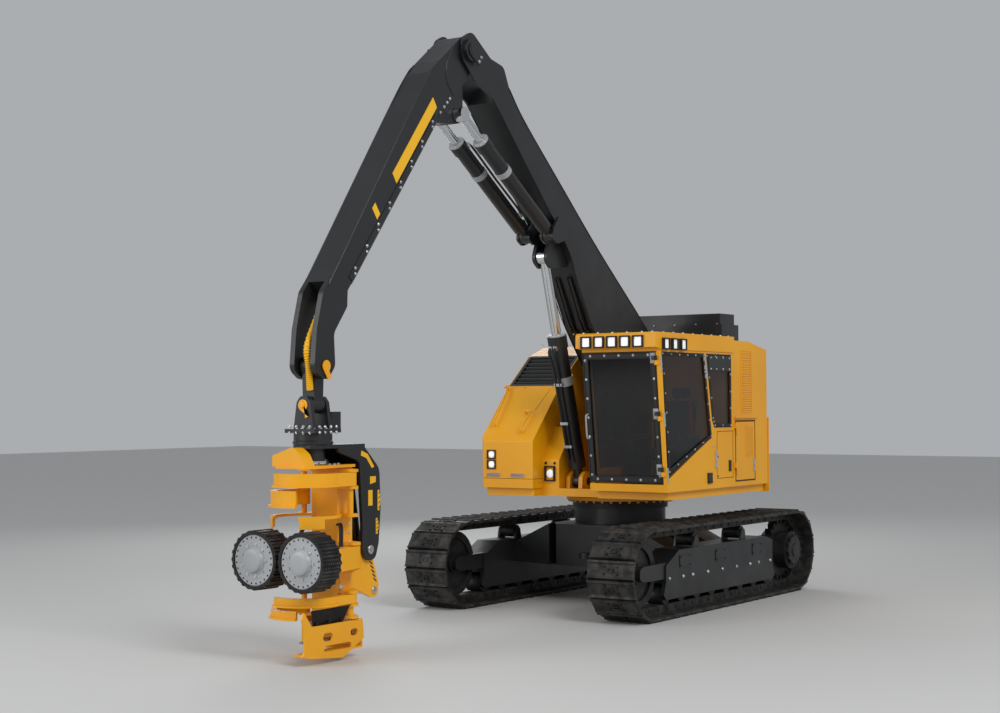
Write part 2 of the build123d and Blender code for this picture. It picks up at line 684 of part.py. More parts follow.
# Roof visor with the work lamps let into its front and left faces
VISOR_FOOT = CAB_GLASS_TOP
visor_back = front_line(SHELL_TOP) + SEAT_GAP
visor_profile = [
    (CAB_REAR, SHELL_TOP + SEAT_GAP),
    (visor_back, SHELL_TOP + SEAT_GAP),
    (visor_back, VISOR_FOOT + 10),
    (VISOR_FRONT, VISOR_FOOT + 22),
    (VISOR_FRONT, CAB_ROOF - 22, 12),
    (VISOR_FRONT - 30, CAB_ROOF, 12),
    (CAB_REAR, CAB_ROOF),
]
visor = side(visor_profile, CAB_LEFT + 16, CAB_RIGHT - 16)
side_band = [
    (CAB_REAR, VISOR_FOOT),
    (visor_back, VISOR_FOOT),
    (visor_back, SHELL_TOP + 5),
    (CAB_REAR, SHELL_TOP + 5),
]
visor = visor + side(side_band, CAB_LEFT + 16, CAB_LEFT + SEAT_GAP)
FRONT_LAMPS = (620, 798, 976, 1154, 1332)
SIDE_LAMPS = (1640, 1425, 1210)
LAMP_HEIGHT = CAB_ROOF - LAMP_DROP
lamps = []
for y in FRONT_LAMPS:
    half = LAMP_SIZE / 2
    heights = (LAMP_HEIGHT - half, LAMP_HEIGHT + half)
    lamp = block((VISOR_FRONT - LAMP_DEPTH, VISOR_FRONT + 6), (y - half, y + half), heights)
    hole = block(
        (VISOR_FRONT - LAMP_DEPTH - SEAT_GAP, VISOR_FRONT + 20),
        (y - half - SEAT_GAP, y + half + SEAT_GAP),
        (LAMP_HEIGHT - half - SEAT_GAP, LAMP_HEIGHT + half + SEAT_GAP),
    )
    lamps.append(lamp)
    visor = visor - hole
for x in SIDE_LAMPS:
    half = LAMP_SIZE / 2
    z = LAMP_HEIGHT - 28
    lamps.append(block((x - half, x + half), (CAB_LEFT + 16 + SEAT_GAP, CAB_LEFT + 40), (z - half, z + half)))
keep("cab_visor", visor)
keep("work_lamps", *lamps)

# Seat, its pedestal and the control consoles inside the cab
seat_x = 520
seat_y = (CAB_LEFT + CAB_RIGHT) / 2
cab_floor = DECK_TOP + CAB_WALL + SEAT_GAP
pedestal = block((seat_x - 180, seat_x + 180), (seat_y - 170, seat_y + 170), (cab_floor, cab_floor + 330))
cushion = block((seat_x - 250, seat_x + 270), (seat_y - 250, seat_y + 250), (cab_floor + 330, cab_floor + 460))
backrest_profile = [
    (seat_x - 250, cab_floor + 400),
    (seat_x - 110, cab_floor + 440),
    (seat_x - 240, cab_floor + 1180, 60),
    (seat_x - 380, cab_floor + 1160, 60),
]
backrest = side(backrest_profile, seat_y + 240, seat_y - 240)
consoles = []
for y in (seat_y - 345, seat_y + 345):
    consoles.append(block((seat_x - 60, seat_x + 420), (y - 65, y + 65), (cab_floor, cab_floor + 620)))
keep("operator_seat", joined(pedestal, cushion, backrest), *consoles)

# Right housing with its sloped hood, the recess for the louvres and the step block
HOUSING_WALL = 25
HOUSING_REAR = SLOT_REAR
slope = atan2(LOUVRE_HEAD[1] - HOOD_HEAD[1], LOUVRE_HEAD[0] - HOOD_HEAD[0])
LOUVRE_DEPTH = 55
housing_profile = [
    (HOUSING_REAR, DECK_TOP),
    (HOUSING_FRONT, DECK_TOP),
    (HOUSING_FRONT, HOOD_FOOT, 40),
    HOOD_HEAD,
    LOUVRE_HEAD,
    (0, HOUSING_ROOF, 120),
    (HOUSING_REAR, HOUSING_ROOF),
]
housing_plan = [
    (HOUSING_REAR, HOUSING_LEFT),
    (HOUSING_REAR, HOUSING_RIGHT),
    (HOUSING_FRONT - HOUSING_CHAMFER, HOUSING_RIGHT),
    (HOUSING_FRONT, HOUSING_RIGHT + HOUSING_CHAMFER),
    (HOUSING_FRONT, HOUSING_LEFT),
]


def housing_form(inset):
    """The housing's body drawn in by a distance all round."""
    left = HOUSING_LEFT - inset
    right = HOUSING_RIGHT + inset
    body = side(housing_profile, left, right, inset=inset)
    return body & flat(housing_plan, DECK_TOP - 10, HOUSING_ROOF + 10, inset=inset)


louvre_length = hypot(LOUVRE_HEAD[0] - HOOD_HEAD[0], LOUVRE_HEAD[1] - HOOD_HEAD[1])
louvre_angle = degrees(slope)
louvre_cut = [(0, -1), (louvre_length, -1), (louvre_length, LOUVRE_DEPTH), (0, LOUVRE_DEPTH)]
well = [(-30, -1), (louvre_length + 30, -1), (louvre_length + 30, LOUVRE_DEPTH + 30), (-30, LOUVRE_DEPTH + 30)]
LOUVRE_MARGIN = 12
louvre_left = HOUSING_LEFT - LOUVRE_MARGIN
louvre_right = HOUSING_RIGHT + LOUVRE_MARGIN
housing = housing_form(0) - housing_form(HOUSING_WALL)
well_block = side(well, louvre_left + 20, louvre_right - 20, at=HOOD_HEAD, angle=louvre_angle)
housing = housing + well_block & housing_form(0)
housing = housing - side(louvre_cut, louvre_left, louvre_right, at=HOOD_HEAD, angle=louvre_angle)
step_profile = [
    (STEP_REAR, DECK_TOP),
    (STEP_FRONT, DECK_TOP),
    (STEP_FRONT, STEP_TOP - 420, 40),
    (STEP_FRONT - 330, STEP_TOP),
    (STEP_REAR, STEP_TOP),
]
step_right = HOUSING_LEFT + SEAT_GAP
step_block = side(step_profile, STEP_LEFT, step_right)
step_hollow = side(step_profile, STEP_LEFT - HOUSING_WALL, step_right + HOUSING_WALL, inset=HOUSING_WALL)
keep("right_housing", housing)
keep("step_box", step_block - step_hollow)

SLAT_COUNT = 7
frame_bar = 40


def louvre_part(points, margin):
    """Slab in the louvre's own frame, a margin inside its sides."""
    return side(points, louvre_left - margin, louvre_right + margin, at=HOOD_HEAD, angle=louvre_angle)


def louvre_box(margin, bottom, top):
    """Outline along the slope, a margin inside the louvre's ends."""
    far = louvre_length - margin
    return [(margin, bottom), (far, bottom), (far, top), (margin, top)]


louvre_frame = louvre_part(louvre_box(SEAT_GAP, 0, LOUVRE_DEPTH - SEAT_GAP), SEAT_GAP)
louvre_frame = louvre_frame - louvre_part(louvre_box(frame_bar, -5, LOUVRE_DEPTH - 12), frame_bar)
slat_pitch = (louvre_length - 2 * frame_bar) / SLAT_COUNT
for index in range(SLAT_COUNT):
    u = frame_bar + (index + 0.5) * slat_pitch
    slat = [(u - 22, LOUVRE_DEPTH - 10), (u + 2, 4), (u + 12, 4), (u - 8, LOUVRE_DEPTH - 10)]
    louvre_frame = louvre_frame + louvre_part(slat, frame_bar - 2)
keep("louvre_hood", louvre_frame)

# Engine enclosure behind the cab and across the tail, with the counterweight and the engine
ENCLOSURE_WALL = 25
ENCLOSURE_RADIUS = hypot(ENCLOSURE_REAR, CAB_LEFT)
ENCLOSURE_FRONT = CAB_REAR - SEAT_GAP
enclosure_slope = 0.178


def enclosure_form(inset):
    """The enclosure's body drawn in by a distance all round."""
    profile = [
        (ENCLOSURE_FRONT - inset, DECK_TOP + inset),
        (ENCLOSURE_FRONT - inset, ENCLOSURE_TOP - inset),
        (-630, ENCLOSURE_TOP - inset),
        (-TAIL_RADIUS, ENCLOSURE_TOP - enclosure_slope * (TAIL_RADIUS - 630) - inset),
        (-TAIL_RADIUS, DECK_TOP + inset),
    ]
    body = side(profile, CAB_LEFT - inset, ENCLOSURE_RIGHT + inset)
    body = body & disc_z(0, 0, ENCLOSURE_RADIUS - inset, DECK_TOP, ENCLOSURE_TOP)
    boom_slot = block((SLOT_REAR - SEAT_GAP - inset, 0), (-2000, CAB_RIGHT + inset), (DECK_TOP - 10, ENCLOSURE_TOP + 10))
    weight_room = block(
        (-2500, COUNTERWEIGHT_FRONT + inset),
        (-2000, 2000),
        (DECK_TOP - 10, COUNTERWEIGHT_TOP + SEAT_GAP + inset),
    )
    return body - boom_slot - weight_room


door_rear, door_front, door_foot, door_head = SERVICE_DOOR
enclosure = enclosure_form(0) - enclosure_form(ENCLOSURE_WALL)
enclosure = enclosure - block((door_rear, door_front), (CAB_LEFT - 60, CAB_LEFT + 1), (door_foot, door_head))
SERVICE_GAP = 6
SERVICE_HINGE = (door_front - 14, CAB_LEFT + 20)
SERVICE_KNUCKLE = 70
knuckle_heights = (door_foot + 140, door_head - 140)
for z in knuckle_heights:
    above = (z + SERVICE_KNUCKLE / 2 + SEAT_GAP, z + SERVICE_KNUCKLE * 1.5)
    leaf = block((door_front + 1, door_front + 36), (CAB_LEFT - 1, CAB_LEFT + 26), above)
    leaf = leaf + block((SERVICE_HINGE[0], door_front + 2), (CAB_LEFT + 14, CAB_LEFT + 26), above)
    enclosure = enclosure + leaf + disc_z(*SERVICE_HINGE, 12, *above)
keep("engine_enclosure", enclosure)

service_door = block(
    (door_rear + SERVICE_GAP, door_front - SERVICE_GAP),
    (CAB_LEFT - 22, CAB_LEFT + 2),
    (door_foot + SERVICE_GAP, door_head - SERVICE_GAP),
)
for z in knuckle_heights:
    span = (z - SERVICE_KNUCKLE / 2, z + SERVICE_KNUCKLE / 2)
    leaf = block((SERVICE_HINGE[0] - 40, SERVICE_HINGE[0]), (CAB_LEFT + 1, CAB_LEFT + 24), span)
    service_door = service_door + leaf + disc_z(*SERVICE_HINGE, 12, *span)
keep("service_door", service_door)

weight = disc_z(0, 0, TAIL_RADIUS, DECK_BOTTOM - 10, COUNTERWEIGHT_TOP)
weight = weight & block((-TAIL_RADIUS, COUNTERWEIGHT_FRONT - SEAT_GAP), (ENCLOSURE_RIGHT, CAB_LEFT), (0, 4000))
pocket = disc_z(0, 0, TAIL_RADIUS - COUNTERWEIGHT_DEPTH, DECK_BOTTOM + 110, COUNTERWEIGHT_TOP - 40)
pocket = pocket & block((-TAIL_RADIUS, 0), (ENCLOSURE_RIGHT + 260, CAB_LEFT - 260), (0, 4000))
weight = weight - pocket
keep("counterweight", weight)
keep("engine_block", block((-1080, -300), (620, 1320), (DECK_TOP + ENCLOSURE_WALL + SEAT_GAP, 2250)))

top_z = ENCLOSURE_TOP - enclosure_slope * (1180 - 630) + SEAT_GAP
box_bottom = [(-1180, top_z), (-1180, 3600), (-1690, 3600), (-1690, top_z - enclosure_slope * 510)]
lower_box = side(box_bottom, 900, -880) - side(box_bottom, 875, -855, inset=25)
upper_box = block((-1660, -1230), (-850, 850), (3600, 3745))
upper_box = upper_box - block((-1635, -1255), (-825, 825), (3620, 3720))
keep("cooler_boxes", joined(lower_box, upper_box))

# Main boom
BOOM_HALF = BOOM_WIDTH / 2
KNUCKLE_SLOT = STICK_WIDTH / 2 + 10
boom_outline = [
    (-150, -170, 130),
    (160, -240, 160),
    (1900, -190, 300),
    (2800, 10, 150),
    (3000, 60, 100),
    (5280, 10, 200),
    (5620, -150, 200),
    (BOOM_LENGTH + 40, -180, 140),
    (BOOM_LENGTH + 190, -20, 120),
    (BOOM_LENGTH + 130, 190, 120),
    (5640, 290, 120),
    (5420, 445, 110),
    (5170, 365, 150),
    (4700, 362),
    (3630, 478),
    (2500, 610, 500),
    (900, 850, 350),
    (180, 640, 300),
    (-220, 100, 180),
]


def boom_side(points, left, right, inset=0):
    """Slab in the boom's own frame, from its foot pin towards the knuckle."""
    return side(points, left, right, at=BOOM_FOOT, angle=BOOM_ANGLE, inset=inset)


def boom_point(u, v):
    return along(BOOM_FOOT, BOOM_ANGLE, u, v)


boom = boom_side(boom_outline, BOOM_HALF, -BOOM_HALF)
cavity = boom_side(boom_outline, BOOM_HALF - BOOM_PLATE, BOOM_PLATE - BOOM_HALF, inset=BOOM_PLATE)
cavity = cavity & boom_side([(320, -900), (5080, -900), (5080, 1500), (320, 1500)], BOOM_HALF, -BOOM_HALF)
boom = boom - cavity
boom = boom - boom_side([(5230, -700), (6500, -700), (6500, 900), (5230, 900)], KNUCKLE_SLOT, -KNUCKLE_SLOT)
boom = boom + disc_y(*BOOM_FOOT, 185, FOOT_HALF, -FOOT_HALF)
boom = boom + disc_y(*BOOM_FOOT, PIN_RADIUS, FOOT_HALF + 52, -FOOT_HALF - 52)
KNUCKLE = boom_point(BOOM_LENGTH, 0)
for inner, outer in ((KNUCKLE_SLOT, BOOM_HALF + 45), (-BOOM_HALF - 45, -KNUCKLE_SLOT)):
    boom = boom + disc_y(*KNUCKLE, 125, outer, inner)
HOIST_EYE_AT = boom_point(*HOIST_EYE)
hoist_lug = [
    (HOIST_EYE[0] - 330, HOIST_EYE[1] + 190),
    (HOIST_EYE[0] - 110, HOIST_EYE[1] - 90, 90),
    (HOIST_EYE[0] + 60, HOIST_EYE[1] - 125, 100),
    (HOIST_EYE[0] + 130, HOIST_EYE[1] + 20, 60),
    (HOIST_EYE[0] + 240, HOIST_EYE[1] + 280),
    (HOIST_EYE[0] - 200, HOIST_EYE[1] + 280),
]
BASE_AT = boom_point(*STICK_CYLINDER_BASE)
base_lug = [
    (STICK_CYLINDER_BASE[0] - 210, STICK_CYLINDER_BASE[1] + 190),
    (STICK_CYLINDER_BASE[0] - 90, STICK_CYLINDER_BASE[1] - 60, 60),
    (STICK_CYLINDER_BASE[0] + 40, STICK_CYLINDER_BASE[1] - 100, 60),
    (STICK_CYLINDER_BASE[0] + 100, STICK_CYLINDER_BASE[1], 60),
    (STICK_CYLINDER_BASE[0] + 130, STICK_CYLINDER_BASE[1] + 190),
]
LUG_PLATE = 32
CYLINDER_Y = STICK_CYLINDER_SPREAD / 2
for sign in (1, -1):
    near = sign * EAR_INNER
    far = sign * (EAR_INNER + LUG_PLATE + 10)
    boom = boom + boom_side(hoist_lug, max(near, far), min(near, far))
    for edge in (CYLINDER_Y - EAR_INNER - LUG_PLATE, CYLINDER_Y + EAR_INNER):
        ends = (sign * edge, sign * (edge + LUG_PLATE))
        boom = boom + boom_side(base_lug, max(ends), min(ends))
tube_at = boom_point(STICK_CYLINDER_BASE[0] - 20, STICK_CYLINDER_BASE[1] + 185)
tube_half = CYLINDER_Y + EAR_INNER + LUG_PLATE
boom = boom + disc_y(*tube_at, 62, tube_half, -tube_half)

# Pin bores of the boom
knuckle_bore = disc_y(*KNUCKLE, PIN_RADIUS + SEAT_GAP, BOOM_HALF + 80, -BOOM_HALF - 80)
boom = boom - knuckle_bore
base_bore = disc_y(*BASE_AT, 40 + SEAT_GAP, tube_half + 5, -tube_half - 5)
boom = boom - base_bore
keep("main_boom", boom)
deck = nodes["deck_frame"][0] - disc_y(*BOOM_FOOT, PIN_RADIUS + SEAT_GAP, FOOT_HALF + 100, -FOOT_HALF - 100)
deck = deck - disc_y(*HOIST_BASE, 50 + SEAT_GAP, EAR_INNER + 100, -EAR_INNER - 100)
keep("deck_frame", deck)

# Hoist cylinder
gland = towards(HOIST_BASE, HOIST_EYE_AT, HOIST_BARREL_LENGTH)
barrel_start = towards(HOIST_BASE, HOIST_EYE_AT, HOIST_NECK)
hoist_barrel = bar_between(barrel_start, gland, HOIST_BARREL_RADIUS, 0)
hoist_barrel = hoist_barrel + bar_between(HOIST_BASE, towards(barrel_start, gland, 10), EYE_HALF, 0)
hoist_barrel = hoist_barrel + disc_y(*HOIST_BASE, 92, EYE_HALF, -EYE_HALF)
hoist_barrel = hoist_barrel + disc_y(*HOIST_BASE, 50, EAR_INNER + EAR_BOSS + 3, -EAR_INNER - EAR_BOSS - 3)
rod_bore_start = towards(HOIST_BASE, HOIST_EYE_AT, 320)
hoist_barrel = hoist_barrel - bar_between(rod_bore_start, towards(gland, HOIST_EYE_AT, 20), HOIST_ROD_RADIUS + SEAT_GAP, 0)
collar = bar_between(towards(gland, HOIST_BASE, 130), towards(gland, HOIST_BASE, -25), HOIST_BARREL_RADIUS + 14, 0)
collar = collar - bar_between(towards(gland, HOIST_BASE, 140), towards(gland, HOIST_BASE, -40), HOIST_ROD_RADIUS + SEAT_GAP, 0)
hoist_barrel = hoist_barrel + collar
keep("hoist_barrel", hoist_barrel)
rod_tip = towards(HOIST_EYE_AT, HOIST_BASE, HOIST_ROD_LENGTH)
hoist_rod = bar_between(rod_tip, HOIST_EYE_AT, HOIST_ROD_RADIUS, 0)
hoist_rod = hoist_rod + disc_y(*HOIST_EYE_AT, 92, EYE_HALF, -EYE_HALF)
keep("hoist_rod", hoist_rod)

# Stick
STICK_HALF = STICK_WIDTH / 2
FORK_GAP = 104
FORK_START = 3640
stick_outline = [
    (-130, -130, 110),
    (260, -190, 100),
    (880, -45, 80),
    (1126, -15),
    (3540, 150, 60),
    (3680, 62, 60),
    (4030, 80, 120),
    (STICK_LENGTH - 90, -125, 100),
    (STICK_LENGTH + 130, -110, 110),
    (STICK_LENGTH + 130, 120, 110),
    (4150, 320, 150),
    (3780, 452, 150),
    (3480, 425),
    (1300, 402),
    (690, 378, 80),
    (470, 330, 120),
    (-60, 165, 90),
    (-170, 40, 100),
]


def stick_side(points, left, right, inset=0):
    """Slab in the stick's own frame, from the knuckle pin towards its tip."""
    return side(points, left, right, at=KNUCKLE, angle=STICK_ANGLE, inset=inset)


def stick_point(u, v):
    return along(KNUCKLE, STICK_ANGLE, u, v)


TIP = stick_point(STICK_LENGTH, 0)
STICK_EYE_AT = stick_point(*STICK_CYLINDER_EYE)
stick = stick_side(stick_outline, STICK_HALF, -STICK_HALF)
cavity = stick_side(stick_outline, STICK_HALF - STICK_PLATE, STICK_PLATE - STICK_HALF, inset=STICK_PLATE)
cavity = cavity & stick_side([(240, -900), (3500, -900), (3500, 900), (240, 900)], STICK_HALF, -STICK_HALF)
stick = stick - cavity
stick = stick - stick_side([(FORK_START, -400), (5000, -400), (5000, 700), (FORK_START, 700)], FORK_GAP, -FORK_GAP)
web = [
    (240, -150),
    (STICK_CYLINDER_EYE[0] - 120, STICK_CYLINDER_EYE[1] - 60, 70),
    (STICK_CYLINDER_EYE[0] + 10, STICK_CYLINDER_EYE[1] - 120, 90),
    (STICK_CYLINDER_EYE[0] + 120, STICK_CYLINDER_EYE[1] - 20, 70),
    (1080, 0),
    (700, 60),
    (300, 0),
]
WEB_HALF = CYLINDER_Y - EAR_INNER
stick = stick + stick_side(web, WEB_HALF, -WEB_HALF)
stick = stick + disc_y(*KNUCKLE, PIN_RADIUS, BOOM_HALF + 62, -BOOM_HALF - 62)
tip_bore = disc_y(*TIP, 45 + SEAT_GAP, STICK_HALF + 10, -STICK_HALF - 10)
stick = stick - tip_bore
keep("stick", stick)

# Pair of stick cylinders
gland = towards(BASE_AT, STICK_EYE_AT, STICK_BARREL_LENGTH)
barrels = []
rods = []
for y in (CYLINDER_Y, -CYLINDER_Y):
    barrel = bar_between(towards(BASE_AT, STICK_EYE_AT, STICK_NECK), gland, STICK_BARREL_RADIUS, y)
    barrel = barrel + bar_between(BASE_AT, towards(BASE_AT, STICK_EYE_AT, STICK_NECK + 10), 50, y)
    barrel = barrel + disc_y(*BASE_AT, 80, y + EYE_HALF, y - EYE_HALF)
    barrel = barrel + disc_y(*BASE_AT, 40, y + EAR_INNER + LUG_PLATE, y - EAR_INNER - LUG_PLATE)
    cut_start = towards(BASE_AT, STICK_EYE_AT, 260)
    cut_end = towards(gland, STICK_EYE_AT, 60)
    barrel = barrel + bar_between(towards(gland, BASE_AT, 110), towards(gland, STICK_EYE_AT, 20), STICK_BARREL_RADIUS + 12, y)
    barrel = barrel - bar_between(cut_start, cut_end, STICK_ROD_RADIUS + SEAT_GAP, y)
    barrels.append(barrel)
    rod = bar_between(towards(STICK_EYE_AT, BASE_AT, STICK_CYLINDER_ROD), STICK_EYE_AT, STICK_ROD_RADIUS, y)
    rods.append(rod + disc_y(*STICK_EYE_AT, 84, y + EYE_HALF, y - EYE_HALF))
keep("stick_barrels", *barrels)
keep("stick_rods", *rods)

# Hanger, rotator and tilt bracket
HEAD_X = TIP[0]
HANGER_PIN = TIP[1] - HANGER_DROP
HANGER_HALF = FORK_GAP - PIN_SIDE_GAP
hanger = disc_y(*TIP, 92, HANGER_HALF, -HANGER_HALF)
hanger = hanger + disc_y(*TIP, 45, STICK_HALF + 12, -STICK_HALF - 12)
hanger = hanger + across(
    [(-85, TIP[1]), (85, TIP[1]), (72, HANGER_PIN), (-72, HANGER_PIN)], HEAD_X - 70, HEAD_X + 70
)
hanger = hanger + disc_x(0, HANGER_PIN, 84, HEAD_X - 90, HEAD_X + 90)
hanger = hanger - disc_x(0, HANGER_PIN, 40 + SEAT_GAP, HEAD_X - 95, HEAD_X + 95)
keep("hanger_link", hanger)

rotator = disc_z(HEAD_X, 0, ROTATOR_RADIUS, ROTATOR_BOTTOM, ROTATOR_TOP - 100)
rotator_cap = (HEAD_X - ROTATOR_RADIUS - 12, HEAD_X + ROTATOR_RADIUS + 12)
rotator = rotator + block(rotator_cap, (-ROTATOR_RADIUS, ROTATOR_RADIUS), (ROTATOR_TOP - 140, ROTATOR_TOP - 100))
for back in (98, -148):
    lug_outline = [
        (-130, ROTATOR_TOP - 110),
        (130, ROTATOR_TOP - 110),
        (88, HANGER_PIN + 30, 50),
        (40, HANGER_PIN + 92, 50),
        (-40, HANGER_PIN + 92, 50),
        (-88, HANGER_PIN + 30, 50),
    ]
    rotator = rotator + across(lug_outline, HEAD_X + back, HEAD_X + back + 50)
rotator = rotator + disc_x(0, HANGER_PIN, 40, HEAD_X - 160, HEAD_X + 160)
rotator = rotator + block((HEAD_X - 330, HEAD_X - 180), (-90, 90), (ROTATOR_TOP - 130, ROTATOR_TOP + 70))
keep("rotator", rotator)

PIVOT = (HEAD_X + TILT_PIVOT[0], TILT_PIVOT[1])
LUG = (HEAD_X + TILT_LUG[0], TILT_LUG[1])
BARREL_EYE = (HEAD_X + TILT_BARREL_EYE[0], TILT_BARREL_EYE[1])
BRACKET_HALF = BRACKET_SPREAD / 2
FLANGE_TOP = ROTATOR_BOTTOM - SEAT_GAP
bracket_flange = [
    (HEAD_X + ROTATOR_RADIUS - 25, -130, 60),
    (HEAD_X + ROTATOR_RADIUS - 25, 130, 60),
    (HEAD_X - 100, BRACKET_HALF),
    (HEAD_X - 560, BRACKET_HALF),
    (HEAD_X - 560, -BRACKET_HALF),
    (HEAD_X - 100, -BRACKET_HALF),
]
bracket = disc_z(HEAD_X, 0, BRACKET_NECK, HEAD_PLATE_TOP + 40, FLANGE_TOP)
bracket = bracket + flat(bracket_flange, FLANGE_TOP - 38, FLANGE_TOP)
arm = [
    (HEAD_X - 130, FLANGE_TOP),
    (HEAD_X - 120, FLANGE_TOP - 70, 60),
    (HEAD_X - 470, FLANGE_TOP - 175, 60),
    (HEAD_X - 520, PIVOT[1] + 260, 300),
    (PIVOT[0] + 125, PIVOT[1] + 20, 60),
    (PIVOT[0] + 60, PIVOT[1] - 115, 90),
    (PIVOT[0] - 90, PIVOT[1] - 105, 90),
    (PIVOT[0] - 145, PIVOT[1] + 60, 60),
    (HEAD_X - 820, PIVOT[1] + 420, 300),
    (HEAD_X - 800, FLANGE_TOP - 260, 150),
    (HEAD_X - 520, FLANGE_TOP, 80),
]
for left in (BRACKET_HALF, BRACKET_PLATE - BRACKET_HALF):
    bracket = bracket + side(arm, left, left - BRACKET_PLATE)
back_plate = [
    (HEAD_X - 760, FLANGE_TOP - 420),
    (HEAD_X - 785, FLANGE_TOP - 265),
    (HEAD_X - 545, FLANGE_TOP - 15),
    (HEAD_X - 520, FLANGE_TOP - 40),
    (HEAD_X - 745, FLANGE_TOP - 275),
    (HEAD_X - 725, FLANGE_TOP - 420),
]
bracket = bracket + side(back_plate, BRACKET_HALF - 5, 5 - BRACKET_HALF)
bracket_inner = BRACKET_HALF - BRACKET_PLATE
for sign in (1, -1):
    ends = (sign * EAR_INNER, sign * (bracket_inner + 1))
    bracket = bracket + disc_y(*BARREL_EYE, 58, max(ends), min(ends))
bracket = bracket - disc_y(*BARREL_EYE, 30 + SEAT_GAP, BRACKET_HALF + 5, -BRACKET_HALF - 5)
bracket = bracket - disc_y(*PIVOT, 42 + SEAT_GAP, BRACKET_HALF + 5, -BRACKET_HALF - 5)
keep("tilt_bracket", bracket)

# Tilt cylinder
gland = towards(BARREL_EYE, LUG, 640)
tilt_barrel = bar_between(towards(BARREL_EYE, LUG, 50), gland, TILT_BARREL_RADIUS, 0)
tilt_barrel = tilt_barrel + disc_y(*BARREL_EYE, 56, EYE_HALF, -EYE_HALF)
tilt_barrel = tilt_barrel + disc_y(*BARREL_EYE, 30, BRACKET_HALF, -BRACKET_HALF)
tilt_barrel = tilt_barrel - bar_between(towards(BARREL_EYE, LUG, 130), towards(gland, LUG, 30), TILT_ROD_RADIUS + SEAT_GAP, 0)
keep("tilt_barrel", tilt_barrel)
tilt_rod = bar_between(towards(BARREL_EYE, LUG, 590), LUG, TILT_ROD_RADIUS, 0)
tilt_rod = tilt_rod + disc_y(*LUG, 52, EYE_HALF, -EYE_HALF)
keep("tilt_rod", tilt_rod)

# Head frame
HEAD_AXIS = HEAD_X + HEAD_LEAD
SPINE = (HEAD_AXIS + SPINE_BACK, HEAD_AXIS + SPINE_FRONT)
FRAME_LUG_OUTER = bracket_inner - PIN_SIDE_GAP
frame = block(SPINE, (-SPINE_HALF_WIDTH, SPINE_HALF_WIDTH), (SAW_TOP + SEAT_GAP, HEAD_PLATE_TOP))
frame = frame - block(
    (SPINE[0] + 22, SPINE[1] - 22),
    (22 - SPINE_HALF_WIDTH, SPINE_HALF_WIDTH - 22),
    (SAW_TOP + 40, HEAD_PLATE_TOP - 30),
)
top_outline = [
    (SPINE[0], -HINGE_ROOT - 60),
    (HEAD_AXIS + 200, -HINGE_ROOT - 110, 60),
    (HEAD_AXIS + 330, -HINGE_ROOT - 40, 60),
    (HEAD_AXIS + 330, HINGE_ROOT + 40, 60),
    (HEAD_AXIS + 200, HINGE_ROOT + 110, 60),
    (SPINE[0], HINGE_ROOT + 60),
]
top_plate = flat(top_outline, HEAD_PLATE_TOP - HINGE_PLATE, HEAD_PLATE_TOP)
nose_outline = [
    (-255, HEAD_PLATE_TOP - 10),
    (-255, HEAD_TOP - 88),
    (10, HEAD_TOP, 60),
    (110, HEAD_TOP - 70, 120),
    (178, HEAD_PLATE_TOP - 10),
]
nose_hollow = [
    (NOSE_WALL - 255, HEAD_PLATE_TOP - 11),
    (NOSE_WALL - 255, HEAD_TOP - 98),
    (8, HEAD_TOP - NOSE_WALL, 60),
    (98, HEAD_TOP - 82, 120),
    (178 - NOSE_WALL, HEAD_PLATE_TOP - 11),
]
nose = across(nose_outline, HEAD_AXIS + 140, HEAD_AXIS + 290)
nose = nose - across(nose_hollow, HEAD_AXIS + 139, HEAD_AXIS + 290 - NOSE_WALL)
frame = frame + top_plate + nose


def hinge_plate(pivot, bottom, top):
    """Plate of the spine that carries a pair of pins."""
    reach = pivot[1] + KNIFE_BOSS
    back = HEAD_AXIS + pivot[0] - KNIFE_BOSS
    front = HEAD_AXIS + pivot[0] + KNIFE_BOSS
    half = [
        (front, reach, KNIFE_BOSS * 0.9),
        (back, reach, KNIFE_BOSS * 0.9),
        (SPINE[0], HINGE_ROOT),
    ]
    right = [(x, -y, *radius) for x, y, *radius in reversed(half)]
    inner = [(SPINE[1] - 5, -HINGE_ROOT), (SPINE[1] - 5, HINGE_ROOT)]
    return flat(right + inner + half, bottom, top)


hinge_levels = [(GUIDE_LEVEL, GUIDE_LEVEL + HINGE_PLATE)]
for pair in (UPPER_KNIVES, LOWER_KNIVES):
    hinge_levels.append((pair[0][0] - HINGE_PLATE - 3, pair[0][0] - 3))
    hinge_levels.append((pair[0][1] + 3, pair[0][1] + 3 + HINGE_PLATE))
HINGE_FOOT = LOWER_KNIVES[1][0] - HINGE_PLATE - 3
hinge_levels.append((HINGE_FOOT, HINGE_FOOT + HINGE_PLATE))
for bottom, top in hinge_levels:
    frame = frame + hinge_plate(KNIFE_PIVOT, bottom, top)
ARM_LEVELS = ((WHEEL_HEIGHT - 150, WHEEL_HEIGHT - 120), (WHEEL_HEIGHT + 120, WHEEL_HEIGHT + 150))
for bottom, top in ARM_LEVELS:
    frame = frame + hinge_plate(ARM_PIVOT, bottom, top)


def ring_part(inner, outer, start, end, bottom, top):
    """Part of a ring round the trunk's centre between two angles from the front, both sides."""
    centre = (HEAD_AXIS + KNIFE_CENTRE, 0)
    ring = disc_z(*centre, outer, bottom, top) - disc_z(*centre, inner, bottom - 1, top + 1)
    sector = [centre]
    for angle in (start, (start + end) / 2, end):
        turn = radians(angle)
        sector.append((centre[0] + 2 * outer * cos(turn), 2 * outer * sin(turn)))
    part = ring & flat(sector, bottom - 2, top + 2)
    return both_sides(part)


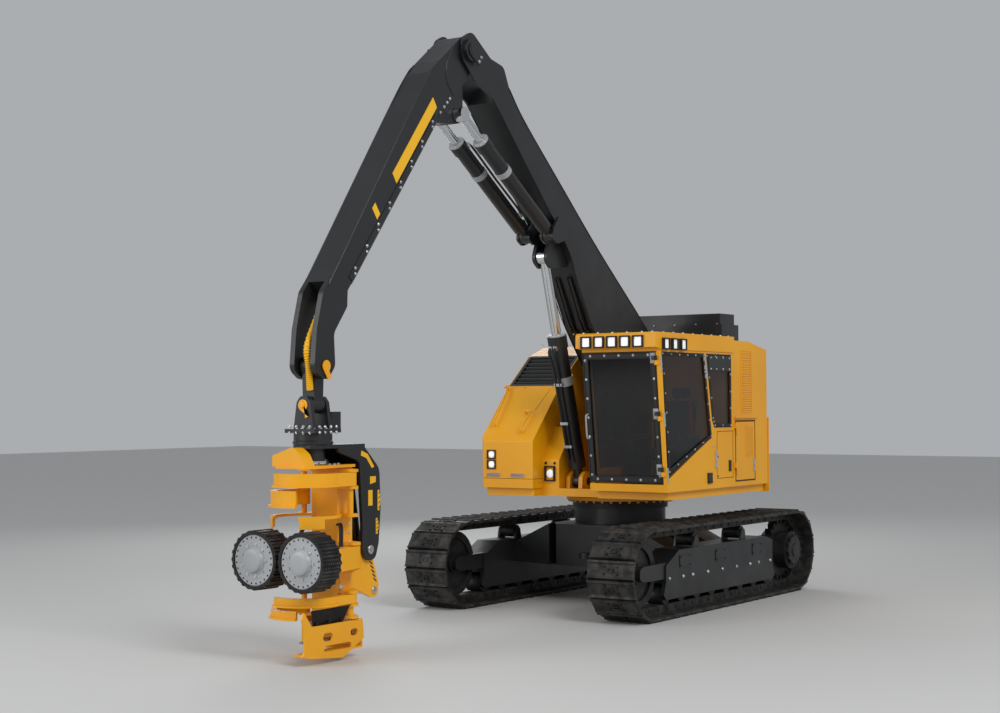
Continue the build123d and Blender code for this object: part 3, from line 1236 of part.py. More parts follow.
# Fixed guides round the trunk, between the upper knives and the wheels
guide_inner = KNIFE_RADIUS - GUIDE_WIDTH
for guide in ring_part(guide_inner, KNIFE_RADIUS, 28, 156, GUIDE_LEVEL, GUIDE_LEVEL + HINGE_PLATE):
    frame = frame + guide
for skirt in ring_part(KNIFE_RADIUS - 16, KNIFE_RADIUS, 30, 72, GUIDE_LEVEL - GUIDE_DROP, GUIDE_LEVEL + 1):
    frame = frame + skirt
lug_plate = [
    (SPINE[1] - 25, PIVOT[1] + 95),
    (SPINE[0] - 20, PIVOT[1] + 75),
    (PIVOT[0] + 40, PIVOT[1] + 70, 60),
    (PIVOT[0] - 75, PIVOT[1] + 50, 60),
    (PIVOT[0] - 90, PIVOT[1] - 60, 60),
    (LUG[0] - 78, LUG[1] + 62, 60),
    (LUG[0] - 66, LUG[1] - 72, 60),
    (LUG[0] + 45, LUG[1] - 70, 50),
    (SPINE[0] - 10, LUG[1] + 55),
    (SPINE[1] - 25, LUG[1] + 30),
]
for left in (FRAME_LUG_OUTER, 40 - FRAME_LUG_OUTER):
    frame = frame + side(lug_plate, left, left - 40)
for sign in (1, -1):
    ends = (sign * EAR_INNER, sign * (FRAME_LUG_OUTER - 5))
    frame = frame + disc_y(*LUG, 54, max(ends), min(ends))
frame = frame + disc_y(*PIVOT, 60, FRAME_LUG_OUTER, FRAME_LUG_OUTER - 60)
frame = frame + disc_y(*PIVOT, 60, 60 - FRAME_LUG_OUTER, -FRAME_LUG_OUTER)
frame = frame + disc_y(*PIVOT, 42, BRACKET_HALF + 12, FRAME_LUG_OUTER - 20)
frame = frame + disc_y(*PIVOT, 42, 20 - FRAME_LUG_OUTER, -BRACKET_HALF - 12)

# Saw box with its slotted guard and the stored saw bar
saw_back = HEAD_AXIS + SAW_BACK
saw_front = HEAD_AXIS + SAW_FRONT
guard_outline = [
    (saw_back, SAW_TOP),
    (saw_back - 22, HEAD_BOTTOM + 157),
    (saw_back + 312, HEAD_BOTTOM, 30),
    (saw_front - 95, HEAD_BOTTOM + 44),
    (saw_front + 48, HEAD_BOTTOM + 72),
    (saw_front + 10, HEAD_BOTTOM + 118),
    (saw_front + 10, HEAD_BOTTOM + 300),
    (saw_front + 48, SAW_PEAK - 75),
    (saw_front + 24, SAW_PEAK, 12),
    (saw_front - 95, SAW_TOP),
]
guard = side(guard_outline, SAW_OUTER, SAW_OUTER - SAW_PLATE)
GUARD_SLOTS = (
    # start behind the box's back edge, length, height of its middle, width
    (80, 112, 262, 68),
    (468, 150, 255, 84),
    (180, 420, 136, 74),
)
for start, length, z, width in GUARD_SLOTS:
    slot = SlotOverall(length, width)
    plane = Plane(origin=(saw_back + start + length / 2, SAW_OUTER + 5, z), x_dir=(1, 0, 0), z_dir=(0, -1, 0))
    guard = guard - extrude(plane * slot, SAW_PLATE + 10, dir=(0, -1, 0))
floor_outline = [
    (saw_back, SAW_RIGHT),
    (saw_back + 190, SAW_RIGHT),
    (saw_back + 260, SAW_INNER),
    (saw_front, SAW_INNER),
    (saw_front, SAW_OUTER - 2),
    (saw_back, SAW_OUTER - 2),
]
SAW_FLOOR = HEAD_BOTTOM + 66
floor = flat(floor_outline, SAW_FLOOR, SAW_FLOOR + SAW_PLATE)
rear_wall = block((saw_back, saw_back + SAW_PLATE), (SAW_RIGHT, SAW_OUTER - 2), (SAW_FLOOR + 10, SAW_TOP))
right_wall = block((saw_back, saw_back + 190), (SAW_RIGHT, SAW_RIGHT + SAW_PLATE), (SAW_FLOOR + 10, SAW_TOP))
saw_box = joined(guard, floor, rear_wall, right_wall)
keep("saw_box", saw_box)
bar_z = 215
bar_at = (HEAD_AXIS + BAR_PIVOT[0], BAR_PIVOT[1])
bar = block((bar_at[0], bar_at[0] + BAR_LENGTH), (bar_at[1] - BAR_WIDTH / 2, bar_at[1] + BAR_WIDTH / 2), (bar_z, bar_z + BAR_THICKNESS))
bar = bar + disc_z(bar_at[0] + BAR_LENGTH, bar_at[1], BAR_WIDTH / 2, bar_z, bar_z + BAR_THICKNESS)
bar = bar + disc_z(*bar_at, 62, bar_z, bar_z + BAR_THICKNESS)
bar = bar + disc_z(*bar_at, 34, bar_z, HINGE_FOOT - SEAT_GAP)
keep("saw_bar", bar)
keep("head_frame", frame)

# Feed arms and their studded wheels
RIB_STEPS = (
    # share of the pitch, distance from the axle
    (-0.3, WHEEL_RADIUS - RIB_HEIGHT),
    (-0.18, WHEEL_RADIUS),
    (0.18, WHEEL_RADIUS),
    (0.3, WHEEL_RADIUS - RIB_HEIGHT),
)
for name, sign in (("left", 1), ("right", -1)):
    pivot = (HEAD_AXIS + ARM_PIVOT[0], sign * ARM_PIVOT[1])
    wheel_y = sign * WHEEL_SPREAD / 2
    low = WHEEL_HEIGHT - 112
    high = WHEEL_HEIGHT + 112
    plan = [
        (pivot[0] - 60, sign * (ARM_PIVOT[1] + 60), 50),
        (HEAD_AXIS + 60, sign * 440, 120),
        (HEAD_AXIS + WHEEL_BACK - 12, sign * 420, 60),
        (HEAD_AXIS + WHEEL_BACK - 12, sign * 190, 20),
        (HEAD_AXIS + WHEEL_BACK - 60, sign * 190, 20),
        (HEAD_AXIS + 60, sign * 350, 120),
        (pivot[0] + 70, sign * (ARM_PIVOT[1] - 50), 50),
        (pivot[0] - 60, sign * (ARM_PIVOT[1] - 60), 50),
    ]
    arm = flat(plan, low, high) + disc_z(*pivot, 62, low, high)
    arm = arm + disc_x(wheel_y, WHEEL_HEIGHT, 115, HEAD_AXIS + WHEEL_BACK - 60, HEAD_AXIS + WHEEL_BACK - 5)
    arm = arm - disc_z(*pivot, 30 + SEAT_GAP, low - 5, high + 5)
    back = HEAD_AXIS + WHEEL_BACK
    arm = arm - disc_x(wheel_y, WHEEL_HEIGHT, WHEEL_AXLE + SEAT_GAP, back - 80, back)
    keep(f"feed_arm_{name}", arm)
    frame = frame + disc_z(*pivot, 30, ARM_LEVELS[0][0], ARM_LEVELS[1][1])

    tread = []
    for index in range(WHEEL_RIBS):
        for share, reach in RIB_STEPS:
            turn = 2 * pi * (index + share) / WHEEL_RIBS
            tread.append((wheel_y + reach * sin(turn), WHEEL_HEIGHT + reach * cos(turn)))
    tyre = across(tread, back, back + WHEEL_WIDTH)
    tyre = tyre - disc_x(wheel_y, WHEEL_HEIGHT, HUB_RADIUS + SEAT_GAP, back - 1, back + WHEEL_WIDTH + 1)
    keep(f"feed_tyre_{name}", tyre)
    hub = disc_x(wheel_y, WHEEL_HEIGHT, HUB_RADIUS, back, back + WHEEL_WIDTH - 14)
    hub = hub + disc_x(wheel_y, WHEEL_HEIGHT, WHEEL_AXLE, back - 60, back + 1)
    hub = hub + disc_x(wheel_y, WHEEL_HEIGHT, 140, back + 20, back + WHEEL_WIDTH + 4)
    hub = hub + disc_x(wheel_y, WHEEL_HEIGHT, 92, back + 20, back + WHEEL_WIDTH + 34)
    keep(f"feed_hub_{name}", hub)


def knife(sign, bottom, top):
    """Curved knife from its pin round the front of the trunk's place."""
    pivot = (HEAD_AXIS + KNIFE_PIVOT[0], sign * KNIFE_PIVOT[1])
    centre = (HEAD_AXIS + KNIFE_CENTRE, 0)
    inner = KNIFE_RADIUS - KNIFE_DEPTH

    def polar(radius, angle):
        """Point round the trunk's centre, on this knife's side."""
        turn = radians(angle)
        return (centre[0] + radius * cos(turn), sign * radius * sin(turn))

    ring = disc_z(*centre, KNIFE_RADIUS, bottom, top)
    ring = ring + disc_z(*centre, KNIFE_RADIUS + KNIFE_LIP, bottom, bottom + KNIFE_LIP)
    ring = ring - disc_z(*centre, inner, bottom - 1, top + 1)
    far = 2 * KNIFE_RADIUS
    sector = [centre, polar(far, KNIFE_ROOT), polar(far, 45), polar(far, KNIFE_TIP)]
    blade = ring & flat(sector, bottom - 2, top + 2)
    root = [
        (pivot[0], pivot[1] + sign * KNIFE_BOSS),
        polar(KNIFE_RADIUS - 1, KNIFE_ROOT - 6),
        polar(inner + 1, KNIFE_ROOT - 6),
        (pivot[0], pivot[1] - sign * KNIFE_BOSS),
    ]
    blade = blade + flat(root, bottom, top) + disc_z(*pivot, KNIFE_BOSS, bottom, top)
    return blade - disc_z(*pivot, 30 + SEAT_GAP, bottom - 1, top + 1)


knife_pairs = (
    ("upper", UPPER_KNIVES, GUIDE_LEVEL + 10),
    ("lower", LOWER_KNIVES, LOWER_KNIVES[1][0] - 20),
)
for label, pair, pin_foot in knife_pairs:
    for (name, sign), (bottom, top) in zip((("left", 1), ("right", -1)), pair):
        keep(f"{label}_knife_{name}", knife(sign, bottom, top))
        pivot = (HEAD_AXIS + KNIFE_PIVOT[0], sign * KNIFE_PIVOT[1])
        frame = frame + disc_z(*pivot, 30, pin_foot, pair[0][1] + 20)
keep("head_frame", frame)

# Origin at the centre of the footprint
everything = Compound([solid for solids in nodes.values() for solid in solids])
box = everything.bounding_box()
SHIFT = (-(box.min.X + box.max.X) / 2, -(box.min.Y + box.max.Y) / 2, -box.min.Z)

os.makedirs("parts", exist_ok=True)
for name, solids in nodes.items():
    piece = Pos(*SHIFT) * (solids[0] if len(solids) == 1 else Compound(solids))
    export_step(piece, f"parts/{name}.step")
print("nodes", len(nodes), "size", box.size, "shift", SHIFT)
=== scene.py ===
# %% [markdown]
# # A tracked forestry harvester
#
# The machine's solids come ready from a CAD model: tracks, cab, arms and the harvesting head. This
# lesson gives them their real finishes and adds what a CAD model leaves out: bolts, studs, hoses,
# seals and grab rails. Everything is in metres, in the CAD model's own frame, so a bolt goes where
# the machine's sizes say and nothing has to be fitted by eye.

import json
from math import cos, pi, radians, sin

import bmesh
import bpy
from mathutils import Matrix, Vector


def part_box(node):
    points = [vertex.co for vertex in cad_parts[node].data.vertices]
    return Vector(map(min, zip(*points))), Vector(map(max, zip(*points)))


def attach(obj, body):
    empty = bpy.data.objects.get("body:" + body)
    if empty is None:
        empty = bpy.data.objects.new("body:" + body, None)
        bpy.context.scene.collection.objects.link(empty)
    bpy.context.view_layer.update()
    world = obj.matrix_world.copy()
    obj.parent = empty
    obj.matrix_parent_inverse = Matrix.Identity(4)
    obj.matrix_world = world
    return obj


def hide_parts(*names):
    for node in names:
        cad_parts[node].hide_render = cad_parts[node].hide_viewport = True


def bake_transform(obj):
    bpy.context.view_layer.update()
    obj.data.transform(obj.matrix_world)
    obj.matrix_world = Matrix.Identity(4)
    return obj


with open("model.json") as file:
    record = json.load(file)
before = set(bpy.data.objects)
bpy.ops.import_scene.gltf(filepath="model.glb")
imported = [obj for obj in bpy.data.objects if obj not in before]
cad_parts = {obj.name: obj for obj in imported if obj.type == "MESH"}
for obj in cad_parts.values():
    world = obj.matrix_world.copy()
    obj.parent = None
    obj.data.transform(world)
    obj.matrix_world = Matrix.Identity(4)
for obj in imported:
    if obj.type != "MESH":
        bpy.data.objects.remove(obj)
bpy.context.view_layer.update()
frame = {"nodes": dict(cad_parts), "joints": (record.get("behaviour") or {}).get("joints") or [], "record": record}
nodes = frame["nodes"]
scene = bpy.context.scene

# %% [markdown]
# Everything else is measured from a few places: the slew axis, the pins of the two arms and the
# rotator's axis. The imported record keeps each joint's place, so they are read from it.

# %% Read the driving places
joint_place = {joint["name"]: Vector(joint.get("pos_m", (0, 0, 0))) for joint in frame["joints"]}
SLEW = joint_place["slew"]
BOOM_FOOT = joint_place["boom_lift"]
KNUCKLE = joint_place["stick_swing"]
STICK_TIP = joint_place["hanger_swing"]
HEAD_AXIS = joint_place["rotator_turn"]
AHEAD = Vector((1, 0, 0))
LEFT = Vector((0, 1, 0))
UP = Vector((0, 0, 1))


def at(x, y, z):
    """Point measured from the slew axis on the ground, in metres."""
    return Vector((SLEW.x + x, y, z))


def on_head(x, y, z):
    """Point of the head measured from the rotator's axis, with its height over the ground."""
    return Vector((HEAD_AXIS.x + x, y, z))


boom_line = KNUCKLE - BOOM_FOOT
stick_line = STICK_TIP - KNUCKLE


def on_arm(start, line, u, v, y):
    """Point u along an arm from its first pin and v to the upper side of its pin line."""
    ahead = line.normalized()
    upward = Vector((-ahead.z, 0, ahead.x))
    return start + ahead * u + upward * v + Vector((0, y, 0))


def on_boom(u, v, y):
    """Point in the boom's own frame."""
    return on_arm(BOOM_FOOT, boom_line, u, v, y)


def on_stick(u, v, y):
    """Point in the stick's own frame, where v points to its outer side."""
    return on_arm(KNUCKLE, stick_line, u, v, y)


print("boom", round(boom_line.length, 3), "stick", round(stick_line.length, 3))

# %% [markdown]
# The photograph was taken from in front of the machine and to its left, a little above waist
# height, with a long lens. A camera fitted to the tracks and the cab gave these numbers. The image
# is 1000 pixels wide, so the focal length in pixels turns straight into one in millimetres.

# %% Camera at the photograph's place
IMAGE_WIDTH = 1000
FOCAL_PIXELS = 1689.3
SENSOR = 36.0
CAMERA_YAW = radians(33.99)
CAMERA_PITCH = radians(1.59)
CAMERA_ROLL = radians(-0.23)
CAMERA_PLACE = (19.235, 11.082, 2.547)
CLIP_END = 200


def placed(name, data):
    """New object in the scene."""
    made = bpy.data.objects.new(name, data)
    scene.collection.objects.link(made)
    return made


camera_data = bpy.data.cameras.new("camera")
camera_data.sensor_width = SENSOR
camera_data.lens = FOCAL_PIXELS * SENSOR / IMAGE_WIDTH
camera_data.clip_end = CLIP_END
camera = placed("camera", camera_data)
ahead = Vector(
    (-cos(CAMERA_YAW) * cos(CAMERA_PITCH), -sin(CAMERA_YAW) * cos(CAMERA_PITCH), sin(CAMERA_PITCH))
)
right = ahead.cross(UP).normalized()
above = right.cross(ahead)
right_rolled = right * cos(CAMERA_ROLL) + above * sin(CAMERA_ROLL)
above_rolled = above * cos(CAMERA_ROLL) - right * sin(CAMERA_ROLL)
turn = Matrix((right_rolled, above_rolled, -ahead)).transposed()
camera.matrix_world = Matrix.Translation(at(*CAMERA_PLACE)) @ turn.to_4x4()
scene.camera = camera
print("lens", round(camera_data.lens, 2))

# %% [markdown]
# A pale floor and three large soft lamps, as in a plain studio: one above and to the camera's
# left, a weaker one from the right, and one behind that draws an edge along the black arms. The
# lamps are several metres wide because the machine is seven metres high.

# %% Floor, lamps and world
scene.view_settings.view_transform = "Standard"


def mesh_data(name, mesh):
    """Mesh data from an open mesh, which is freed."""
    data = bpy.data.meshes.new(name)
    mesh.to_mesh(data)
    mesh.free()
    return data


def linear(code, alpha=1.0):
    """Linear colour from an sRGB hex code."""
    parts = [int(code[i:i + 2], 16) / 255 for i in (1, 3, 5)]
    bent = [part / 12.92 if part <= 0.04045 else ((part + 0.055) / 1.055) ** 2.4 for part in parts]
    return (*bent, alpha)


def add(tree, kind, links=None, **settings):
    """Adds one node: settings set its properties or its sockets, links join other sockets to it."""
    node = tree.nodes.new(kind)
    for name, value in settings.items():
        if hasattr(node, name):
            setattr(node, name, value)
        else:
            node.inputs[name.replace("_", " ")].default_value = value
    for name, source in (links or {}).items():
        tree.links.new(source, node.inputs[name])
    return node


FLOOR_HALF = 60
floor_mesh = bmesh.new()
bmesh.ops.create_grid(floor_mesh, x_segments=1, y_segments=1, size=FLOOR_HALF)
floor = placed("floor", mesh_data("floor", floor_mesh))
floor_material = bpy.data.materials.new("studio_floor")
floor_material.use_nodes = True
floor_shader = floor_material.node_tree.nodes["Principled BSDF"]
floor_shader.inputs["Base Color"].default_value = linear("#c9c9c7")
floor_shader.inputs["Roughness"].default_value = 0.75
floor.data.materials.append(floor_material)

world = bpy.data.worlds.new("studio")
scene.world = world
world.use_nodes = True
sky = world.node_tree.nodes["Background"]
sky.inputs["Color"].default_value = linear("#dfe2e6")
sky.inputs["Strength"].default_value = 0.55

LAMPS = (
    # name, place, point it faces, width, power
    ("key", (9.0, 14.0, 13.0), (1.5, 0.0, 2.5), 7.0, 1500),
    ("fill", (16.0, -6.0, 7.0), (3.0, 0.0, 2.5), 8.0, 650),
    ("edge", (-8.0, -9.0, 9.0), (1.0, 0.0, 3.5), 7.0, 430),
)
for name, place, target, width, power in LAMPS:
    lamp_data = bpy.data.lights.new(name, "AREA")
    lamp_data.size = width
    lamp_data.energy = power
    lamp = placed(name, lamp_data)
    aim = (at(*target) - at(*place)).to_track_quat("-Z", "Y")
    lamp.matrix_world = Matrix.Translation(at(*place)) @ aim.to_matrix().to_4x4()
print("lamps", len(LAMPS))

# %% [markdown]
# Each finish is a small recipe of nodes. Four helpers keep them short: one reads a noise at a real
# size, and the others turn it into a colour, a gloss or a bump. A noise of size 0.4 has blotches
# about 0.4 m across, so the same helper makes the soft colour drift of a big panel and the fine skin
# that sprayed enamel shows close up.

# %% Helpers for finishes
MATERIALS = {}
MIDDLE_OF_NOISE = {"From_Min": 0.3, "From_Max": 0.7}


def finish(name, **settings):
    """New material: its node tree and its shader, with the settings on the sockets of the same names."""
    material = bpy.data.materials.new(name)
    material.use_nodes = True
    MATERIALS[name] = material
    shader = material.node_tree.nodes["Principled BSDF"]
    for socket, value in settings.items():
        shader.inputs[socket.replace("_", " ")].default_value = value
    return material.node_tree, shader


def own_place(tree):
    """Coordinates that stay with the object."""
    return add(tree, "ShaderNodeTexCoord").outputs["Object"]


def noise(tree, size, detail=3.0, stretch=(1, 1, 1)):
    """Noise with features of about the given size in metres."""
    mapped = add(tree, "ShaderNodeMapping", {"Vector": own_place(tree)}, Scale=stretch).outputs["Vector"]
    node = add(tree, "ShaderNodeTexNoise", {"Vector": mapped}, Scale=1 / size, Detail=detail)
    return node.outputs["Fac"]


def colour(tree, shader, factor, *stops):
    """Colour that runs through (position, hex code) stops."""
    node = add(tree, "ShaderNodeValToRGB", {"Fac": factor})
    for element, (position, code) in zip(node.color_ramp.elements, stops):
        element.position = position
        element.color = linear(code)
    tree.links.new(node.outputs["Color"], shader.inputs["Base Color"])


def gloss(tree, shader, factor, low, high):
    """Roughness that goes from low to high over the factor's middle range."""
    node = add(tree, "ShaderNodeMapRange", {"Value": factor}, **MIDDLE_OF_NOISE, To_Min=low, To_Max=high)
    tree.links.new(node.outputs["Result"], shader.inputs["Roughness"])


def relief(tree, shader, height, depth):
    """Bump of the given depth in metres."""
    node = add(tree, "ShaderNodeBump", {"Height": height}, Strength=1.0, Distance=depth)
    tree.links.new(node.outputs["Normal"], shader.inputs["Normal"])


# %% [markdown]
# Enamel on steel plate is not one flat colour. Its tone drifts a little from panel to panel, its
# gloss changes where it has been wiped, and a fine orange-peel skin breaks up the reflections.

# %% Enamels
PANEL_DRIFT = 1.3
WIPED_PATCH = 0.35
ORANGE_PEEL = 0.006


def enamel(name, codes, rough, skin=0.00025):
    """Sprayed enamel between two close tones, with a fine skin."""
    tree, shader = finish(name, Coat_Weight=0.1, Coat_Roughness=0.2)
    colour(tree, shader, noise(tree, PANEL_DRIFT, 4.0), (0.35, codes[0]), (0.65, codes[1]))
    gloss(tree, shader, noise(tree, WIPED_PATCH, 5.0), *rough)
    relief(tree, shader, noise(tree, ORANGE_PEEL, 2.0), skin)


enamel("yellow_enamel", ("#f0a402", "#f8b006"), (0.36, 0.48))
enamel("black_enamel", ("#161719", "#1f2022"), (0.34, 0.5))
enamel("silver_enamel", ("#9a9c9e", "#b4b6b8"), (0.35, 0.5))
enamel("label_yellow", ("#f2b40c", "#f8c018"), (0.42, 0.52), 0.0001)

# %% [markdown]
# The steel of the tracks is cast and rolled. It is painted black when new, and its ribs soon show
# brown-grey metal, so patches of worn steel lie over the dark colour with a coarse bump.

# %% Steels
WORN_PATCH = 0.12
RUBBED_SPOT = 0.05
ROD_MARK = 0.004


def worn_steel(name, codes, metal, rough, grain):
    """Cast or rolled steel with patches of its second colour."""
    tree, shader = finish(name, Metallic=metal)
    colour(tree, shader, noise(tree, WORN_PATCH, 6.0), (0.4, codes[0]), (0.62, codes[1]))
    gloss(tree, shader, noise(tree, RUBBED_SPOT, 4.0), *rough)
    relief(tree, shader, noise(tree, grain, 3.0), 0.0008)


worn_steel("track_steel", ("#2b2b2b", "#4a4743"), 0.55, (0.45, 0.7), 0.012)
worn_steel("undercarriage_steel", ("#1d1d1e", "#2e2d2c"), 0.3, (0.4, 0.6), 0.015)
worn_steel("drum_steel", ("#1c1c1d", "#2a2a2a"), 0.35, (0.45, 0.62), 0.01)
worn_steel("stud_steel", ("#2c2c2c", "#575552"), 0.5, (0.35, 0.5), 0.006)
worn_steel("bright_fastener", ("#b9bbbd", "#d8dadb"), 0.9, (0.25, 0.4), 0.004)
worn_steel("bar_steel", ("#7c7d7f", "#a1a2a3"), 0.9, (0.3, 0.5), 0.006)
worn_steel("engine_iron", ("#3a3a3a", "#4c4b49"), 0.4, (0.6, 0.8), 0.02)


def chrome(name):
    """Ground and chromed rod with fine marks along it."""
    tree, shader = finish(name, Metallic=1.0)
    marks = noise(tree, ROD_MARK, 2.0, (1, 1, 0.1))
    colour(tree, shader, marks, (0.3, "#c4c7ca"), (0.7, "#e3e5e6"))
    gloss(tree, shader, marks, 0.1, 0.2)
    relief(tree, shader, marks, 0.00005)


chrome("chromed_rod")

# %% [markdown]
# The panes are thick safety glass with a grey tint. A thin film of dust makes their gloss uneven,
# and enough light passes to show the seat behind them.

# %% Glass, lenses, rubber and cloth
DUST_FILM = 0.5
LAMP_GLOW = "#f7fbff"


def tinted_glass(name):
    """Tinted pane that shows the dim inside."""
    tree, shader = finish(name, Alpha=0.5, Specular_IOR_Level=0.6)
    film = noise(tree, DUST_FILM, 5.0)
    colour(tree, shader, film, (0.3, "#0b0d0f"), (0.7, "#14171a"))
    gloss(tree, shader, film, 0.03, 0.09)


def lens(name):
    """White lens of a lit work lamp, ribbed like a reflector."""
    tree, shader = finish(name, Roughness=0.15, Emission_Color=linear(LAMP_GLOW), Emission_Strength=0.35)
    ribs = add(tree, "ShaderNodeTexWave", {"Vector": own_place(tree)}, Scale=22.0).outputs["Fac"]
    colour(tree, shader, ribs, (0.2, "#e9edf0"), (0.8, "#ffffff"))
    relief(tree, shader, ribs, 0.002)


def rubber(name, codes, size):
    """Moulded rubber with a dull, slightly dusty skin."""
    tree, shader = finish(name)
    skin = noise(tree, size, 5.0)
    colour(tree, shader, skin, (0.35, codes[0]), (0.65, codes[1]))
    gloss(tree, shader, skin, 0.55, 0.75)
    relief(tree, shader, skin, 0.0003)


def woven(name, codes, thread):
    """Upholstery cloth with two crossing sets of threads."""
    tree, shader = finish(name, Roughness=0.9, Sheen_Weight=0.3)
    place = own_place(tree)
    both = add(tree, "ShaderNodeMath", operation="MAXIMUM")
    for socket, way in zip(both.inputs, ("Y", "Z")):
        threads = add(tree, "ShaderNodeTexWave", {"Vector": place}, bands_direction=way, Scale=0.3 / thread)
        tree.links.new(threads.outputs["Fac"], socket)
    weave = both.outputs[0]
    colour(tree, shader, weave, (0.3, codes[0]), (0.9, codes[1]))
    relief(tree, shader, weave, 0.0006)


tinted_glass("tinted_glass")
lens("lamp_lens")
rubber("black_rubber", ("#141415", "#1f1f20"), 0.05)
rubber("cab_trim", ("#232427", "#2e2f33"), 0.02)
woven("seat_cloth", ("#17181b", "#2c2d31"), 0.002)
woven("belt_webbing", ("#a5121c", "#c81f2a"), 0.0015)
print("finishes", len(MATERIALS))

# %% [markdown]
# Every CAD node now gets its finish, by the material slot that the record gives it.

# %% Finish the CAD nodes
SLOT_FINISH = {
    "yellow_paint": "yellow_enamel",
    "weight_iron": "yellow_enamel",
    "black_paint": "black_enamel",
    "track_steel": "track_steel",
    "dark_steel": "undercarriage_steel",
    "chromed_rod": "chromed_rod",
    "tinted_glass": "tinted_glass",
    "studded_steel": "drum_steel",
    "silver_paint": "silver_enamel",
    "lamp": "lamp_lens",
    "seat_fabric": "seat_cloth",
    "engine_iron": "engine_iron",
    "bar_steel": "bar_steel",
}
for entry in frame["record"]["subparts"]:
    node = nodes[entry["node"]]
    material = MATERIALS[SLOT_FINISH[entry["material_slot"]]]
    if not node.material_slots:
        node.data.materials.append(material)
    for slot in node.material_slots:
        slot.material = material
print("finished nodes", len(nodes))

# %% [markdown]
# Small pieces stand in rows, rings and rectangles. These helpers give the places, so that a row of
# bolts is one line below.

# %% Rows and rings
SQUARE = ((-1, -1), (1, -1), (1, 1), (-1, 1))


def outward(sign):
    """Unit vector to the machine's left (1) or right (-1)."""
    return Vector((0, sign, 0))


def along_line(start, end, count):
    """Evenly spaced points from start to end."""
    return [start.lerp(end, index / (count - 1)) for index in range(count)]


def ring_of(middle, first, second, radius, count, shift=0.0):
    """Evenly spaced places on a circle, counted from the first direction toward the second."""
    places = []
    for index in range(count):
        angle = 2 * pi * (index + shift) / count
        places.append(middle + (first * cos(angle) + second * sin(angle)) * radius)
    return places


def rectangle(middle, across, upward, half_width, half_height):
    """Corners of a rectangle about a point."""
    return [middle + across * (a * half_width) + upward * (b * half_height) for a, b in SQUARE]


def upright(rows, y):
    """Points on an upright plane, from (distance ahead of the slew axis, height) pairs."""
    return [at(x, y, z) for x, z in rows]


def box_of(node):
    """Low and high corner of a CAD node."""
    low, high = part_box(node)
    return Vector(low), Vector(high)


# %% [markdown]
# A handful of shape makers adds faces to an open mesh, so a row of forty bolts is a single object.
# Every one of them lays a skin over rings of places, like slices of the finished shape.

# %% Shape makers
def axes(direction):
    """Three unit vectors, the last one along the direction."""
    ahead = Vector(direction).normalized()
    helper = AHEAD if abs(ahead.z) > 0.9 else UP
    across = helper.cross(ahead).normalized()
    return across, ahead.cross(across), ahead


def add_skin(mesh, rings, closed=False):
    """Skin over rings of places. Its ends are capped, or closed joins the last ring to the first."""
    loops = [[mesh.verts.new(place) for place in ring] for ring in rings]
    for lower, upper in zip(loops, loops[1:] + loops[:1] if closed else loops[1:]):
        for index in range(len(lower)):
            after = (index + 1) % len(lower)
            mesh.faces.new((lower[index], lower[after], upper[after], upper[index]))
    if not closed:
        mesh.faces.new(list(reversed(loops[0])))
        mesh.faces.new(loops[-1])


def add_turned(mesh, place, direction, profile, sides, closed=False):
    """Turned body through rings, given as (distance along the direction, radius) pairs."""
    across, up, ahead = axes(direction)
    rings = [ring_of(place + ahead * distance, across, up, radius, sides) for distance, radius in profile]
    add_skin(mesh, rings, closed)


def add_bolt(mesh, place, direction, size):
    """Hexagon head of the given radius on a round washer."""
    add_turned(mesh, place, direction, [(-0.002, size * 1.45), (size * 0.25, size * 1.45)], 14)
    head = [(size * 0.2, size), (size * 0.95, size), (size * 1.1, size * 0.82)]
    add_turned(mesh, place, direction, head, 6)


def add_bolts(mesh, places, direction, size):
    """One bolt head at each place."""
    for place in places:
        add_bolt(mesh, place, direction, size)


def add_plate(mesh, corners, normal, thickness):
    """Plate with the given corners as its outer face, going back against the normal."""
    back = Vector(normal).normalized() * -thickness
    add_skin(mesh, [corners, [corner + back for corner in corners]])


def add_block(mesh, middle, size, forward=AHEAD, side=LEFT):
    """Box with its sides along forward, side and their cross product."""
    first = Vector(forward).normalized()
    third = first.cross(Vector(side)).normalized()
    second = third.cross(first)
    length, width, height = size
    top = rectangle(middle + third * (height / 2), first, second, length / 2, width / 2)
    add_plate(mesh, top, third, height)


def add_frame(mesh, corners, facing, width, height):
    """Flat strip of the given width inside a closed outline, standing proud by the height."""
    facing = Vector(facing).normalized()
    count = len(corners)
    inner = []
    for index, corner in enumerate(corners):
        before = (corners[index - 1] - corner).normalized()
        after = (corners[(index + 1) % count] - corner).normalized()
        inward = (before + after).normalized()
        sine = max(0.25, before.cross(inward).length)
        inner.append(corner + inward * (width / sine))
    edges = ((corners, 0.0), (corners, height), (inner, height), (inner, 0.0))
    add_skin(mesh, [[corner + facing * lift for corner in ring] for ring, lift in edges], closed=True)


def smooth_path(points, steps):
    """Points along a smooth curve through the given ones."""
    ends = [points[0] * 2 - points[1]] + list(points) + [points[-1] * 2 - points[-2]]
    path = []
    for before, start, end, after in zip(ends, ends[1:], ends[2:], ends[3:]):
        for step in range(steps):
            t = step / steps
            path.append(
                0.5 * (start * 2 + (end - before) * t
                       + (before * 2 - start * 5 + end * 4 - after) * t * t
                       + (start * 3 - before - end * 3 + after) * t * t * t)
            )
    path.append(points[-1])
    return path


def add_tube(mesh, points, radius, sides=10, steps=8):
    """Round tube along a smooth curve through the points."""
    path = smooth_path(points, steps)
    across = None
    rings = []
    for index, place in enumerate(path):
        ahead = (path[min(index + 1, len(path) - 1)] - path[max(index - 1, 0)]).normalized()
        across = axes(ahead)[0] if across is None else (across - ahead * across.dot(ahead)).normalized()
        rings.append(ring_of(place, across, ahead.cross(across), radius, sides))
    add_skin(mesh, rings)


